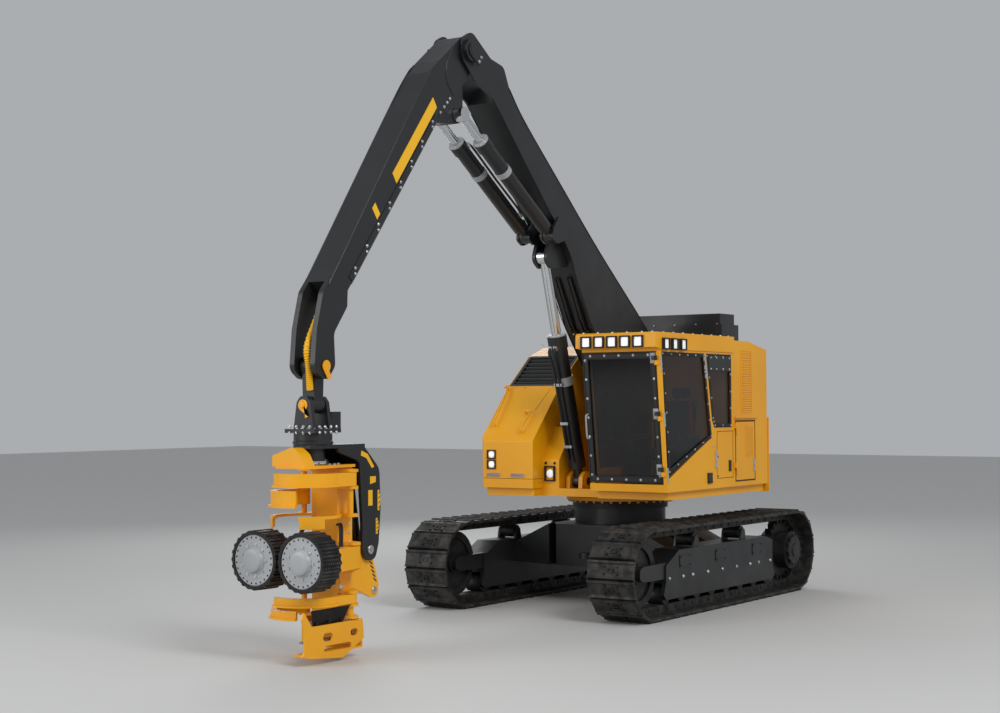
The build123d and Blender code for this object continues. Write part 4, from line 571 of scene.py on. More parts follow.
# %% [markdown]
# `piece` closes an open mesh, gives it a finish and ties it to the body of the machine that carries
# it. A finish that stands in the record has a slot there. New pieces name it, so that a later scene
# can repaint the CAD model and its trim together.


def piece(name, mesh, material, body, bevel=0.0, smooth=False):
    """Object with a finish, riding on a body unless that is None, its sharp edges eased by a bevel."""
    bmesh.ops.recalc_face_normals(mesh, faces=mesh.faces[:])
    data = mesh_data(name, mesh)
    data.materials.append(MATERIALS[material])
    if smooth:
        data.polygons.foreach_set("use_smooth", [True] * len(data.polygons))
        data.set_sharp_from_angle(angle=radians(35))
    made = placed(name, data)
    if body:
        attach(made, body)
    if bevel:
        modifier = made.modifiers.new("eased_edges", "BEVEL")
        modifier.width = bevel
        modifier.segments = 2
        modifier.limit_method = "ANGLE"
    print(name, len(data.polygons), "faces")
    return made

# %% [markdown]
# The two feed wheels grip the trunk with rows of short steel studs. Their fronts are closed by a
# silver hub cover with an outer ring of small bolts, an inner ring of bright ones and a domed cap.

# %% Feed wheels
STUD_ROWS = 48
STUDS_ACROSS = 9
STUD = (0.02, 0.018, 0.02)
STUD_SINK = (0.006, 0.014)
COVER_DEPTH = 0.014
COVER = ((0.0, 0.249), (0.006, 0.249), (0.009, 0.246), (0.009, 0.19), (0.012, 0.187), (0.012, 0.14))
DOME = (
    (0.016, 0.13), (0.022, 0.128), (0.034, 0.118), (0.05, 0.114), (0.058, 0.102), (0.062, 0.073),
    (0.063, 0.03),
)
SCREW = ((-0.002, 0.0095), (0.002, 0.0095), (0.004, 0.006))
BOLT_RINGS = {
    # finish: count, turn of the first one as a share of the pitch, radius, height over the cover's foot
    "undercarriage_steel": (24, 0.5, 0.228, 0.009),
    "bright_fastener": (9, 0.25, 0.158, 0.012),
}


def hub_places(front, finish_name):
    """Places of one ring of bolts on a hub cover."""
    count, shift, radius, height = BOLT_RINGS[finish_name]
    return ring_of(front + AHEAD * height, UP, LEFT, radius, count, shift)


for name in ("left", "right"):
    body = f"feed_wheel_{name}"
    axle = joint_place[f"{body}_spin"]
    low, high = box_of(f"feed_tyre_{name}")
    pitch = (high.x - low.x) / STUDS_ACROSS
    crest = (high.z - low.z) / 2
    studs = bmesh.new()
    for row in range(STUD_ROWS):
        angle = 2 * pi * row / STUD_ROWS
        away = Vector((0, sin(angle), cos(angle)))
        odd = row % 2
        for column in range(STUDS_ACROSS):
            x = low.x + pitch * (column + 0.3 + 0.2 * odd)
            middle = Vector((x, axle.y, axle.z)) + away * (crest - STUD_SINK[odd])
            add_block(studs, middle, STUD, AHEAD, Vector((0, away.z, -away.y)))
    piece(f"feed_studs_{name}", studs, "stud_steel", body, 0.002)

    front = Vector((high.x - COVER_DEPTH, axle.y, axle.z))
    cover = bmesh.new()
    add_turned(cover, front, AHEAD, COVER, 64)
    add_turned(cover, front, AHEAD, DOME, 48)
    piece(f"hub_cover_{name}", cover, "silver_enamel", body, smooth=True)

    screws = bmesh.new()
    for place in hub_places(front, "undercarriage_steel"):
        add_turned(screws, place, AHEAD, SCREW, 10)
    piece(f"cover_screws_{name}", screws, "undercarriage_steel", body)
    bolts = bmesh.new()
    add_bolts(bolts, hub_places(front, "bright_fastener"), AHEAD, 0.0125)
    piece(f"hub_bolts_{name}", bolts, "bright_fastener", body)

# %% [markdown]
# The head hangs from a black rotator. Silver bolts hold its flanges and yellow retainers keep its
# pins.

# %% Rotator and hanger
rotator_low = box_of("rotator")[0]
hanger_pin = joint_place["rotator_swing"]
ROTATOR_BOLTS = 16
ROTATOR_RING = 0.175
ROTATOR_FLANGE = 0.16
CASE = (
    (0.0, 0.205), (0.022, 0.205), (0.026, 0.2), (0.05, 0.19), (0.052, 0.187), (0.11, 0.187),
    (0.112, 0.2), (0.128, 0.2),
)

bolts = bmesh.new()
flange = on_head(0, 0, rotator_low.z + ROTATOR_FLANGE)
add_bolts(bolts, ring_of(flange, AHEAD, LEFT, ROTATOR_RING, ROTATOR_BOLTS), UP, 0.011)
for shift in (0.13, 0.045, -0.045, -0.13):
    for drop in (0.217, 0.272):
        add_bolt(bolts, on_head(0.2, shift, hanger_pin.z - drop), AHEAD, 0.012)
        add_bolt(bolts, on_head(shift, 0.196, hanger_pin.z - drop), LEFT, 0.012)
piece("rotator_bolts", bolts, "bright_fastener", "rotator")

case = bmesh.new()
add_turned(case, on_head(0, 0, rotator_low.z + 0.008), UP, CASE, 48)
piece("rotator_case", case, "black_enamel", "rotator", smooth=True)


def retainer_outline(radius, first, turn, foot):
    """Corners of a plate that is round about a pin and ends in a foot."""
    outline = []
    for index in range(13):
        angle = radians(first + turn * index / 12)
        outline.append((radius * cos(angle), radius * sin(angle)))
    return outline + list(foot)


retainer = bmesh.new()
outline = retainer_outline(0.058, -60, 300, ((0.07, -0.115), (0.035, -0.125)))
add_plate(retainer, [hanger_pin + Vector((0.162, y, z)) for y, z in outline], AHEAD, 0.012)
add_turned(retainer, hanger_pin + AHEAD * 0.16, AHEAD, [(0, 0.03), (0.016, 0.03), (0.02, 0.024)], 20)
piece("hanger_retainer", retainer, "yellow_enamel", "rotator", 0.002)

tip_retainer = bmesh.new()
outline = retainer_outline(0.06, -50, 280, ((-0.08, -0.12), (-0.02, -0.135)))
for sign in (1, -1):
    corners = [STICK_TIP + Vector((x, sign * 0.183, z)) for x, z in outline]
    add_plate(tip_retainer, corners, outward(sign), 0.012)
piece("tip_retainers", tip_retainer, "yellow_enamel", "stick", 0.002)

# %% [markdown]
# The black bracket carries the blank yellow plates of the real machine: a long one on its sloping
# shoulder, two upright ones below it and two crescent-shaped hazard plates on its back edge.

# %% Bracket plates
BRACKET_SIDE = 0.221
BRACKET_PLATES = (
    ((-0.5, 2.07), (-0.6, 2.035), (-0.71, 1.90), (-0.67, 1.885), (-0.58, 1.99), (-0.49, 2.02)),
    ((-0.61, 1.66), (-0.68, 1.66), (-0.68, 1.5), (-0.61, 1.5)),
    ((-0.64, 1.80), (-0.735, 1.80), (-0.735, 1.74), (-0.64, 1.72)),
)
CRESCENTS = (
    # top, bottom, back edge and front edge measured from the rotator's axis
    (1.66, 1.44, -0.81, -0.765),
    (1.37, 1.2, -0.78, -0.735),
)
CRESCENT_STEPS = 8
plates = bmesh.new()


def bracket_plate(mesh, points):
    """Thin plate on the bracket's left side through (x from the rotator, z) corners."""
    add_plate(mesh, [on_head(x, BRACKET_SIDE + 0.003, z) for x, z in points], LEFT, 0.004)


for points in BRACKET_PLATES:
    bracket_plate(plates, points)
for top, bottom, back, front in CRESCENTS:
    middle = (top + bottom) / 2
    half = (top - bottom) / 2
    shares = [-1 + 2 * index / CRESCENT_STEPS for index in range(CRESCENT_STEPS + 1)]
    crescent = [(back + 0.02 * share * share, middle + half * share) for share in shares]
    crescent += [(front, middle + half * 0.92 * share) for share in reversed(shares)]
    bracket_plate(plates, list(reversed(crescent)))
piece("bracket_plates", plates, "label_yellow", "tilt_bracket", 0.001)

# %% [markdown]
# The boom and the stick are boxes of welded plate. A bead runs along every long corner, and the
# pins have keeper plates with two bright bolts.

# %% Boom and stick
BOOM_SIDE = 0.2
STICK_SIDE = 0.165
BEAD = 0.007
BOOM_EDGES = (
    ((0.6, 0.78), (0.9, 0.84), (2.5, 0.606), (3.63, 0.476), (4.7, 0.36), (5.17, 0.363)),
    ((0.4, -0.235), (1.9, -0.188), (2.6, -0.045), (3.0, 0.056), (4.2, 0.034), (5.1, 0.014)),
)
STICK_EDGES = (
    ((0.5, 0.336), (0.7, 0.377), (1.3, 0.4), (3.48, 0.423), (3.6, 0.43)),
    ((0.9, -0.041), (1.126, -0.013), (2.4, 0.073), (3.45, 0.144)),
)
DOUBLER_EDGE = ((0.16, 0.24), (0.42, 0.2), (0.56, 0.08), (0.6, -0.1))


def add_beads(mesh, on_part, edge, half_width, steps):
    """Weld bead along an edge, on both sides of an arm."""
    for sign in (1, -1):
        add_tube(mesh, [on_part(u, v, sign * half_width) for u, v in edge], BEAD, 6, steps)


beads = bmesh.new()
for edge in BOOM_EDGES:
    add_beads(beads, on_boom, edge, BOOM_SIDE, 6)
piece("boom_welds", beads, "black_enamel", "boom", smooth=True)
beads = bmesh.new()
for edge in STICK_EDGES:
    add_beads(beads, on_stick, edge, STICK_SIDE, 6)
add_beads(beads, on_stick, DOUBLER_EDGE, STICK_SIDE, 8)
piece("stick_welds", beads, "black_enamel", "stick", smooth=True)


def add_keeper(mesh, bolts, place, sign, toward, reach, width):
    """Pointed keeper plate beside a pin, with two bolts across its foot."""
    ahead = (toward - place).normalized()
    across = ahead.cross(outward(sign))
    corners = []
    for index in range(9):
        angle = radians(90 + 180 * index / 8)
        corners.append(place + (ahead * cos(angle) + across * sin(angle)) * width * 0.62)
    for side in (-0.5, 0.5):
        corners.append(place + ahead * reach + across * width * side)
    add_plate(mesh, corners, outward(sign), 0.014)
    for share in (-0.25, 0.25):
        add_bolt(bolts, place + ahead * (reach - 0.035) + across * width * share, outward(sign), 0.014)


KNUCKLE_SIDE = BOOM_SIDE + 0.0595
FOOT_SIDE = 0.347
keepers = bmesh.new()
bolts = bmesh.new()
for sign in (1, -1):
    place = KNUCKLE + outward(sign) * KNUCKLE_SIDE
    add_keeper(keepers, bolts, place, sign, on_boom(5.4, 0.1, place.y), 0.19, 0.13)
    place = BOOM_FOOT + outward(sign) * FOOT_SIDE
    add_keeper(keepers, bolts, place, sign, on_boom(0.5, 0.2, place.y), 0.15, 0.12)
piece("pin_keepers", keepers, "black_enamel", "boom", 0.002)
piece("pin_keeper_bolts", bolts, "bright_fastener", "boom")

# %% [markdown]
# A channel on the stick's rear side guards its hoses. Its flanges lie on the stick's sides, held by
# pairs of bolts.

# %% Hose channel of the stick
def rear_edge(u):
    """Height of the stick's rear side over its pin line."""
    return -0.015 + (u - 1.126) * 0.0683


def on_rear(u, above, y):
    """Point u along the stick and above its rear side."""
    return on_stick(u, rear_edge(u) + above, y)


CHANNEL_START = 1.02
CHANNEL_END = 3.42
CHANNEL_HALF = 0.115
TAPER = 0.09
# Half of the channel's section: distance beyond its half width, height over the stick's rear side
HALF_SECTION = ((0.03, 0.004), (0.012, -0.02), (-0.02, -0.075))
RING_SHRINK = (
    (CHANNEL_START, 0.35), (CHANNEL_START + TAPER, 1.0), (CHANNEL_END - TAPER, 1.0), (CHANNEL_END, 0.35),
)
FLANGE_Y = STICK_SIDE + 0.008
BOLT_PAIRS = 8
BOLT_MARGIN = 0.12
channel = bmesh.new()
section = [(CHANNEL_HALF + y, depth) for y, depth in HALF_SECTION]
section += [(-y, depth) for y, depth in reversed(section)]
add_skin(channel, [[on_rear(u, depth * shrink, y) for y, depth in section] for u, shrink in RING_SHRINK])
corners = ((CHANNEL_START, 0.005), (CHANNEL_END, 0.005), (CHANNEL_END, 0.075), (CHANNEL_START, 0.075))
for sign in (1, -1):
    add_plate(channel, [on_rear(u, above, sign * FLANGE_Y) for u, above in corners], outward(sign), 0.008)
piece("stick_hose_channel", channel, "black_enamel", "stick", 0.003)

bolts = bmesh.new()
for index in range(BOLT_PAIRS):
    span = CHANNEL_END - CHANNEL_START - 2 * BOLT_MARGIN
    u = CHANNEL_START + BOLT_MARGIN + span * index / (BOLT_PAIRS - 1)
    for sign in (1, -1):
        for along, above in ((-0.02, 0.058), (0.03, 0.024)):
            place = on_stick(u + along, rear_edge(u) + above, sign * FLANGE_Y)
            add_bolt(bolts, place, outward(sign), 0.0125)
for u in (0.93, 0.83, 0.75, 0.68):
    for sign in (1, -1):
        add_bolt(bolts, on_stick(u, -0.015 - (0.93 - u) * 0.18, sign * STICK_SIDE), outward(sign), 0.0125)
piece("channel_bolts", bolts, "bright_fastener", "stick")

# %% [markdown]
# The stick carries a long yellow warning strip and a small one. They are thin blank plates here:
# the lettering of the real machine belongs to its maker.

# %% Blank labels of the stick
LABELS = (
    # near end, far end, low edge and high edge over the stick's rear side, in metres
    (0.93, 2.1, 0.095, 0.215),
    (2.55, 2.63, 0.1, 0.235),
)
LABEL_SLANT = 0.045
labels = bmesh.new()
for near, far, low, high in LABELS:
    outline = ((near, low), (far, low), (far - LABEL_SLANT, high), (near - LABEL_SLANT, high))
    for sign in (1, -1):
        corners = [on_rear(u, above, sign * (STICK_SIDE + 0.0025)) for u, above in outline]
        add_plate(labels, corners, outward(sign), 0.003)
piece("stick_labels", labels, "label_yellow", "stick")

# %% [markdown]
# Steel pipes run along the underside of the boom under clamp blocks. Each pipe belongs to one body,
# so it moves with that body and never has to bend.

# %% Pipes and clamps of the boom
PIPE_RUN = ((0.75, -0.244), (1.9, -0.212), (2.35, -0.122), (2.62, -0.057))
PIPE_RADIUS = 0.016
CLAMPS = ((0.95, -0.238), (1.4, -0.225), (1.85, -0.212))
pipes = bmesh.new()
clamps = bmesh.new()
bolts = bmesh.new()
for y in (-0.105, -0.063, 0.063, 0.105):
    add_tube(pipes, [on_boom(u, v, y) for u, v in PIPE_RUN], PIPE_RADIUS, 10, 6)
boom_down = on_boom(0, -1, 0) - on_boom(0, 0, 0)
for u, v in CLAMPS:
    for y in (-0.084, 0.084):
        add_block(clamps, on_boom(u, v, y), (0.05, 0.1, 0.05), boom_line, LEFT)
        add_bolt(bolts, on_boom(u, v - 0.024, y), boom_down, 0.009)
piece("boom_pipes", pipes, "black_enamel", "boom", smooth=True)
piece("boom_pipe_clamps", clamps, "black_rubber", "boom", 0.004)
piece("boom_pipe_bolts", bolts, "bright_fastener", "boom")

# %% [markdown]
# The barrels of the cylinders carry their own lines, from a block at the rod's end to one near the
# foot. A silver gland with a ring of bolts closes each barrel, and a band clamps its line.

# %% Lines of the cylinders
def add_band(mesh, place, direction, radius, width):
    """Clamp band round a barrel."""
    rings = [(0.0, radius), (0.0, radius + 0.009), (width, radius + 0.009), (width, radius)]
    add_turned(mesh, place, direction, rings, 40)


hoist_base = joint_place["hoist_barrel_pivot"]
hoist_way = (on_boom(3.08, -0.19, 0) - hoist_base).normalized()
hoist_side = Vector((hoist_way.z, 0, -hoist_way.x))
HOIST_GLAND = ((0, 0.118), (0.012, 0.118), (0.02, 0.09), (0.02, 0.068))
HOIST_LINE = (
    # distance along the barrel, out from its axis, to the left
    (1.76, 0.14, 0.035), (1.7, 0.175, 0.035), (1.5, 0.145, 0.03),
    (0.9, 0.135, 0.03), (0.45, 0.13, 0.03), (0.28, 0.09, 0.03),
)


def on_hoist(distance, out=0.0, left=0.0):
    """Point along the hoist cylinder's barrel, out to its lower side and to its left."""
    return hoist_base + hoist_way * distance + hoist_side * out + LEFT * left


bands = bmesh.new()
fittings = bmesh.new()
lines = bmesh.new()
add_band(bands, on_hoist(1.26), hoist_way, 0.107, 0.11)
add_turned(bands, on_hoist(1.893), hoist_way, HOIST_GLAND, 40)
add_bolts(fittings, ring_of(on_hoist(1.903), hoist_side, LEFT, 0.1, 10), hoist_way, 0.011)
for sign in (1, -1):
    add_block(fittings, on_hoist(1.76, 0.122, sign * 0.035), (0.06, 0.05, 0.045), hoist_way, LEFT)
    run = [on_hoist(distance, out, sign * left) for distance, out, left in HOIST_LINE]
    add_tube(lines, run, 0.018, 12, 8)
for distance in (1.3, 0.8, 0.5):
    add_block(fittings, on_hoist(distance, 0.128), (0.035, 0.11, 0.055), hoist_way, LEFT)
piece("hoist_bands", bands, "silver_enamel", "hoist_barrel", smooth=True)
piece("hoist_lines", lines, "black_rubber", "hoist_barrel", smooth=True)
piece("hoist_fittings", fittings, "bright_fastener", "hoist_barrel", 0.003)

stick_base = joint_place["stick_barrel_pivot"]
stick_way = (on_stick(0.68, -0.32, 0) - stick_base).normalized()
stick_up = Vector((-stick_way.z, 0, stick_way.x))
STICK_GLAND = ((0, 0.096), (0.012, 0.096), (0.02, 0.074), (0.02, 0.054))
STICK_LINE = ((1.66, 0.115), (1.55, 0.125), (1.0, 0.12), (0.5, 0.125), (0.36, 0.115))
bands = bmesh.new()
fittings = bmesh.new()
lines = bmesh.new()
for sign in (1, -1):
    foot = stick_base + outward(sign) * 0.17
    side = (stick_up * 0.55 + outward(-sign) * 0.83).normalized()
    add_band(bands, foot + stick_way * 1.18, stick_way, 0.087, 0.075)
    add_turned(bands, foot + stick_way * 1.759, stick_way, STICK_GLAND, 36)
    heads = ring_of(foot + stick_way * 1.771, stick_up, LEFT, 0.082, 8, 0.5)
    add_bolts(fittings, heads, stick_way, 0.009)
    for distance in (0.36, 1.66):
        add_block(fittings, foot + stick_way * distance + side * 0.1, (0.055, 0.045, 0.05), stick_way, side)
    run = [foot + stick_way * distance + side * out for distance, out in STICK_LINE]
    add_tube(lines, run, 0.014, 10, 6)
piece("stick_cylinder_bands", bands, "silver_enamel", "stick_barrels", smooth=True)
piece("stick_cylinder_lines", lines, "black_enamel", "stick_barrels", smooth=True)
piece("stick_cylinder_fittings", fittings, "bright_fastener", "stick_barrels", 0.003)

# %% [markdown]
# The cab's front leans forward and is one big door. A rubber seal and a row of bolts run round each
# side pane, and rows of bright bolts hold the roof and the panel over the rear pane.

# %% Cab: side panes and roof
CAB_LEFT = 1.544
CAB_RIGHT = 0.486
CAB_TOP = 3.38
PANES = (
    ((1.532, 1.7), (1.688, 3.15), (0.6, 3.15), (0.405, 2.115)),
    ((0.545, 3.15), (-0.14, 3.15), (-0.14, 2.235), (0.33, 2.235), (0.392, 2.33)),
)
PANE_BOLT_PITCH = 0.21
PANEL = ((0.5, 3.13), (-0.125, 3.13), (-0.125, 2.94), (0.468, 2.94))
SIDE_BOLTS = (
    # height, places ahead of the slew axis, distance out from the cab's side, size
    (2.965, (-0.08, 0.1, 0.28, 0.43), 0.009, 0.0095),
    (3.105, (-0.08, 0.1, 0.28, 0.43), 0.009, 0.0095),
    (3.166, (1.56, 1.3, 1.04, 0.78, 0.5, 0.2, -0.1), 0.0, 0.008),
)
ROOF_EDGE = 0.02
ROOF_Z = CAB_TOP - 0.002
seals = bmesh.new()
bolts = bmesh.new()
for outline in PANES:
    corners = upright(outline, CAB_LEFT - 0.001)
    add_frame(seals, corners, LEFT, 0.045, 0.006)
    middle = sum(corners, Vector()) / len(corners)
    for start, end in zip(corners, corners[1:] + corners[:1]):
        count = max(2, int((end - start).length / PANE_BOLT_PITCH))
        for place in along_line(start, end, count + 1)[:-1]:
            inward = (middle - place).normalized()
            add_bolt(bolts, place + inward * 0.03 + LEFT * 0.005, LEFT, 0.0085)
piece("side_window_seals", seals, "black_rubber", "upper", 0.0015)

panel = bmesh.new()
add_plate(panel, upright(PANEL, CAB_LEFT + 0.009), LEFT, 0.012)
piece("rear_window_panel", panel, "black_enamel", "upper", 0.002)
for z, row, out, size in SIDE_BOLTS:
    add_bolts(bolts, [at(x, CAB_LEFT + out, z) for x in row], LEFT, size)
for z in (1.62, 1.95, 2.28, 2.61, 2.94):
    add_bolt(bolts, at(0.375 + 0.23 * (z - 1.95) / 1.2, CAB_LEFT, max(z, 2.0)), LEFT, 0.008)
add_bolts(bolts, [at(1.826, y, ROOF_Z) for y in (0.56, 0.76, 0.96, 1.16, 1.36, 1.5)], UP, 0.013)
for x in (1.6, 1.35, 1.1, 0.85, 0.6, 0.35, 0.1, -0.12):
    add_bolts(bolts, [at(x, y, ROOF_Z) for y in (CAB_LEFT - ROOF_EDGE, CAB_RIGHT + ROOF_EDGE)], UP, 0.013)
piece("cab_bolts", bolts, "bright_fastener", "upper")

# %% [markdown]
# The front door's black frame is held by a row of bright bolts, and three silver hinges carry it on
# the left pillar. Each hinge has a strap on the door and a strap on the pillar. Two rod hinges
# stand on the cab's side.

# %% Cab: front door and hinges
DOOR_LEFT = 1.493
FRONT_FOOT = 1.56
FRONT_FOOT_Z = 1.483
FRONT_LEAN = 0.19 / 1.697
LEAN_FACING = Vector((1, 0, -FRONT_LEAN)).normalized()
LEAN_UP = Vector((FRONT_LEAN, 0, 1)).normalized()
HINGES = (1.7, 2.36, 3.02)
DOOR_STRAP = ((0.07, -0.062), (0.003, -0.062), (0.003, 0.062), (0.07, 0.062))
PILLAR_STRAP = ((0, -0.1), (0.03, -0.1), (0.03, 0.075), (0, 0.075))
HANDLE = ((2.12, 0.0), (2.13, 0.05), (2.2, 0.06), (2.33, 0.06), (2.4, 0.05), (2.41, 0.0))
ROD_HINGES = (
    # distance ahead of the slew axis, height, slope, length
    (0.566372, 2.98, 0.1884, 0.3),
    (0.285, 1.84, 0.0, 0.22),
)


def cab_front(y, z, proud=0.0):
    """Point on the leaning front of the cab."""
    return at(FRONT_FOOT + FRONT_LEAN * (z - FRONT_FOOT_Z), y, z) + LEAN_FACING * proud


def on_front(right, left, foot, head):
    """Corners of a rectangle on the leaning front."""
    return [cab_front(y, z) for y, z in ((right, foot), (left, foot), (left, head), (right, head))]


seals = bmesh.new()
add_frame(seals, on_front(0.492, DOOR_LEFT - 0.006, 1.597, 3.143), LEAN_FACING, 0.016, 0.007)
add_frame(seals, on_front(0.553, DOOR_LEFT - 0.067, 1.658, 3.082), LEAN_FACING, 0.014, 0.006)
piece("door_seals", seals, "black_rubber", "cab_door", 0.0015)
bolts = bmesh.new()
for y in (0.523, DOOR_LEFT - 0.037):
    add_bolts(bolts, along_line(cab_front(y, 1.68), cab_front(y, 3.06), 7), LEAN_FACING, 0.011)
for z in (1.627, 3.113):
    add_bolts(bolts, along_line(cab_front(0.6, z), cab_front(1.39, z), 5), LEAN_FACING, 0.011)
straps = bmesh.new()
for z in HINGES:
    middle_z = z + 0.056
    for rise in (-0.04, 0.04):
        add_bolt(bolts, cab_front(DOOR_LEFT - 0.03, middle_z + rise, 0.012), LEAN_FACING, 0.0105)
    corners = [cab_front(DOOR_LEFT - inset, middle_z + rise, 0.012) for inset, rise in DOOR_STRAP]
    add_plate(straps, corners, LEAN_FACING, 0.012)
add_tube(straps, [cab_front(0.52, z, proud) for z, proud in HANDLE], 0.011, 10, 6)
piece("door_hinge_straps", straps, "silver_enamel", "cab_door", 0.002)
piece("door_bolts", bolts, "bright_fastener", "cab_door")

straps = bmesh.new()
for z in HINGES:
    foot = cab_front(CAB_LEFT, z) - AHEAD * 0.045
    corners = [foot + LEAN_UP * rise + Vector((reach, 0.007, 0)) for reach, rise in PILLAR_STRAP]
    add_plate(straps, corners, LEFT, 0.008)
    for rise in (-0.075, -0.02, 0.05):
        add_bolt(straps, foot + LEAN_UP * rise + Vector((0.015, 0.006, 0)), LEFT, 0.009)
for x, z, slope, length in ROD_HINGES:
    lean = Vector((slope, 0, 1)).normalized()
    middle = at(x, CAB_LEFT + 0.005, z)
    add_turned(straps, middle - lean * length / 2, lean, [(0, 0.011), (length, 0.011)], 12)
    for share in (-0.36, 0.0, 0.36):
        add_block(straps, middle + lean * length * share, (0.07, 0.008, 0.05), AHEAD, LEFT)
piece("side_hinge_straps", straps, "silver_enamel", "upper", 0.0015)

# %% [markdown]
# Lamps sit in dark pods so that no light leaks back to the windscreen. Each pod is a square collar
# round the lens.

# %% Cab: lamps
FRONT_POD = 0.071
SIDE_POD = 0.069
FRONT_LAMP_Z = CAB_TOP - 0.108
SIDE_LAMP_Z = FRONT_LAMP_Z - 0.028
pods = bmesh.new()
for y in (0.62, 0.798, 0.976, 1.154, 1.332):
    collar = rectangle(at(1.8675, y, FRONT_LAMP_Z), LEFT, UP, FRONT_POD, FRONT_POD)
    add_frame(pods, collar, AHEAD, 0.018, 0.028)
for x in (1.64, 1.425, 1.21):
    collar = rectangle(at(x, CAB_LEFT + 0.0155, SIDE_LAMP_Z), -AHEAD, UP, SIDE_POD, SIDE_POD)
    add_frame(pods, collar, LEFT, 0.016, 0.042)
piece("lamp_pods", pods, "black_rubber", "upper", 0.003)

# %% [markdown]
# Low on the cab's left side is a small access door with a black latch, and in front of it a flat
# black cover.

# %% Cab: access door
DOOR_LINE = ((0.265, 1.6), (0.265, 2.1), (0.25, 2.19), (-0.185, 2.19), (-0.185, 1.6))
LATCH_PLATE = ((-0.06, 1.68), (-0.12, 1.68), (-0.12, 1.82), (-0.06, 1.82))
COVER_PLATE = ((0.53, 1.55), (0.42, 1.55), (0.42, 1.68), (0.53, 1.68))
line = bmesh.new()
add_frame(line, upright(DOOR_LINE, CAB_LEFT - 0.001), LEFT, 0.006, 0.003)
piece("access_door_line", line, "black_rubber", "upper")
latches = bmesh.new()
add_plate(latches, upright(LATCH_PLATE, CAB_LEFT + 0.012), LEFT, 0.014)
add_plate(latches, upright(COVER_PLATE, CAB_LEFT + 0.02), LEFT, 0.022)
add_bolts(latches, upright(((0.44, 1.57), (0.51, 1.57)), CAB_LEFT + 0.02), LEFT, 0.008)
add_bolts(latches, upright(((0.238, 1.63), (0.238, 1.87)), CAB_LEFT), LEFT, 0.008)
piece("access_latches", latches, "black_enamel", "upper", 0.003)

# %% [markdown]
# The right housing has a sloping hood with two bent grab rails, a pair of lamps in its nose and two
# grab slots below them. Thin dark seams show where its panels meet.

# %% Right housing: rails and seams
HOUSING_LEFT = -0.39
HOUSING_RIGHT = -1.18
NOSE_X = 1.5
NOSE_TOP = 2.075
HOOD_REAR = 0.85
HOOD_TOP = 2.77
hood_along = Vector((NOSE_X - HOOD_REAR, 0, NOSE_TOP - HOOD_TOP))
hood_normal = Vector((-hood_along.z, 0, hood_along.x)).normalized()
RAILS = (
    # share of the slope and y at the rail's upper end, the same at its lower end
    (0.08, -1.11, 0.74, -1.06),
    (0.52, -0.58, 0.86, -0.6),
)
RAIL_EDGE = HOUSING_RIGHT + 0.03
RAIL_FOOT = ((0, 0.032), (0.007, 0.032), (0.009, 0.028))


def on_hood(share, y, proud=0.0):
    """Point on the hood's slope, from its top edge (0) to the nose's edge (1)."""
    return at(HOOD_REAR, y, HOOD_TOP) + hood_along * share + hood_normal * proud


rails = bmesh.new()
for top, top_y, bottom, bottom_y in RAILS:
    run = [
        on_hood(top, max(top_y - 0.1, RAIL_EDGE)),
        on_hood(top, max(top_y - 0.095, RAIL_EDGE), 0.05),
        on_hood(top + 0.01, top_y - 0.06, 0.07),
        on_hood(top + 0.03, top_y, 0.07),
        on_hood(bottom - 0.05, bottom_y, 0.07),
        on_hood(bottom, bottom_y + 0.005, 0.05),
        on_hood(bottom + 0.01, bottom_y + 0.005),
    ]
    add_tube(rails, run, 0.0125, 12, 8)
    for foot in (run[0], run[-1]):
        add_turned(rails, foot - hood_normal * 0.002, hood_normal, RAIL_FOOT, 20)
piece("hood_grab_rails", rails, "yellow_enamel", "upper", smooth=True)


def add_seam(mesh, start, end, facing, width=0.005):
    """Dark line from start to end, a millimetre proud of the panel."""
    facing = Vector(facing).normalized()
    side = (end - start).normalized().cross(facing) * width / 2
    corners = [start - side, end - side, end + side, start + side]
    add_plate(mesh, [corner + facing * 0.001 for corner in corners], facing, 0.003)


SEAMS = (
    (at(NOSE_X, HOUSING_RIGHT + 0.05, 1.6), at(NOSE_X, HOUSING_LEFT - 0.004, 1.6), AHEAD),
    (at(NOSE_X - 0.002, HOUSING_LEFT, 1.6), at(0.2, HOUSING_LEFT, 1.6), LEFT),
    (on_hood(0.45, HOUSING_LEFT - 0.19), on_hood(0.05, HOUSING_LEFT - 0.12), hood_normal),
    (at(-0.2, HOUSING_RIGHT, 1.56), at(-0.2, HOUSING_RIGHT, 3.2), -LEFT),
    (at(0.62, HOUSING_RIGHT, 1.56), at(0.62, HOUSING_RIGHT, 2.9), -LEFT),
    (at(-1.1, HOUSING_RIGHT, 1.56), at(1.42, HOUSING_RIGHT, 1.56), -LEFT),
)
seams = bmesh.new()
for start, end, facing in SEAMS:
    add_seam(seams, start, end, facing)
piece("hood_seams", seams, "black_rubber", "upper")

# %% [markdown]
# The nose carries two work lamps one over the other, and the step beside it a bigger one.

# %% Right housing: lamps, slots and bolts
NOSE_FACE = NOSE_X - 0.001
NOSE_LAMP_Y = -1.01
NOSE_LENS = ((0, 0.042), (0.009, 0.042), (0.013, 0.035), (0.015, 0.02))
SLOT_Z = 1.645
STEP_X = 1.28
STEP_LENS = ((0, 0.05), (0.012, 0.05), (0.017, 0.042), (0.019, 0.02))
bezels = bmesh.new()
lenses = bmesh.new()
for z in (1.9, 1.775):
    centre = at(NOSE_FACE, NOSE_LAMP_Y, z)
    add_frame(bezels, rectangle(centre, LEFT, UP, 0.066, 0.058), AHEAD, 0.014, 0.018)
    add_turned(lenses, centre, AHEAD, NOSE_LENS, 28)
piece("nose_lamp_bezels", bezels, "black_rubber", "upper", 0.003)
piece("nose_lamps", lenses, "lamp_lens", "upper", smooth=True)

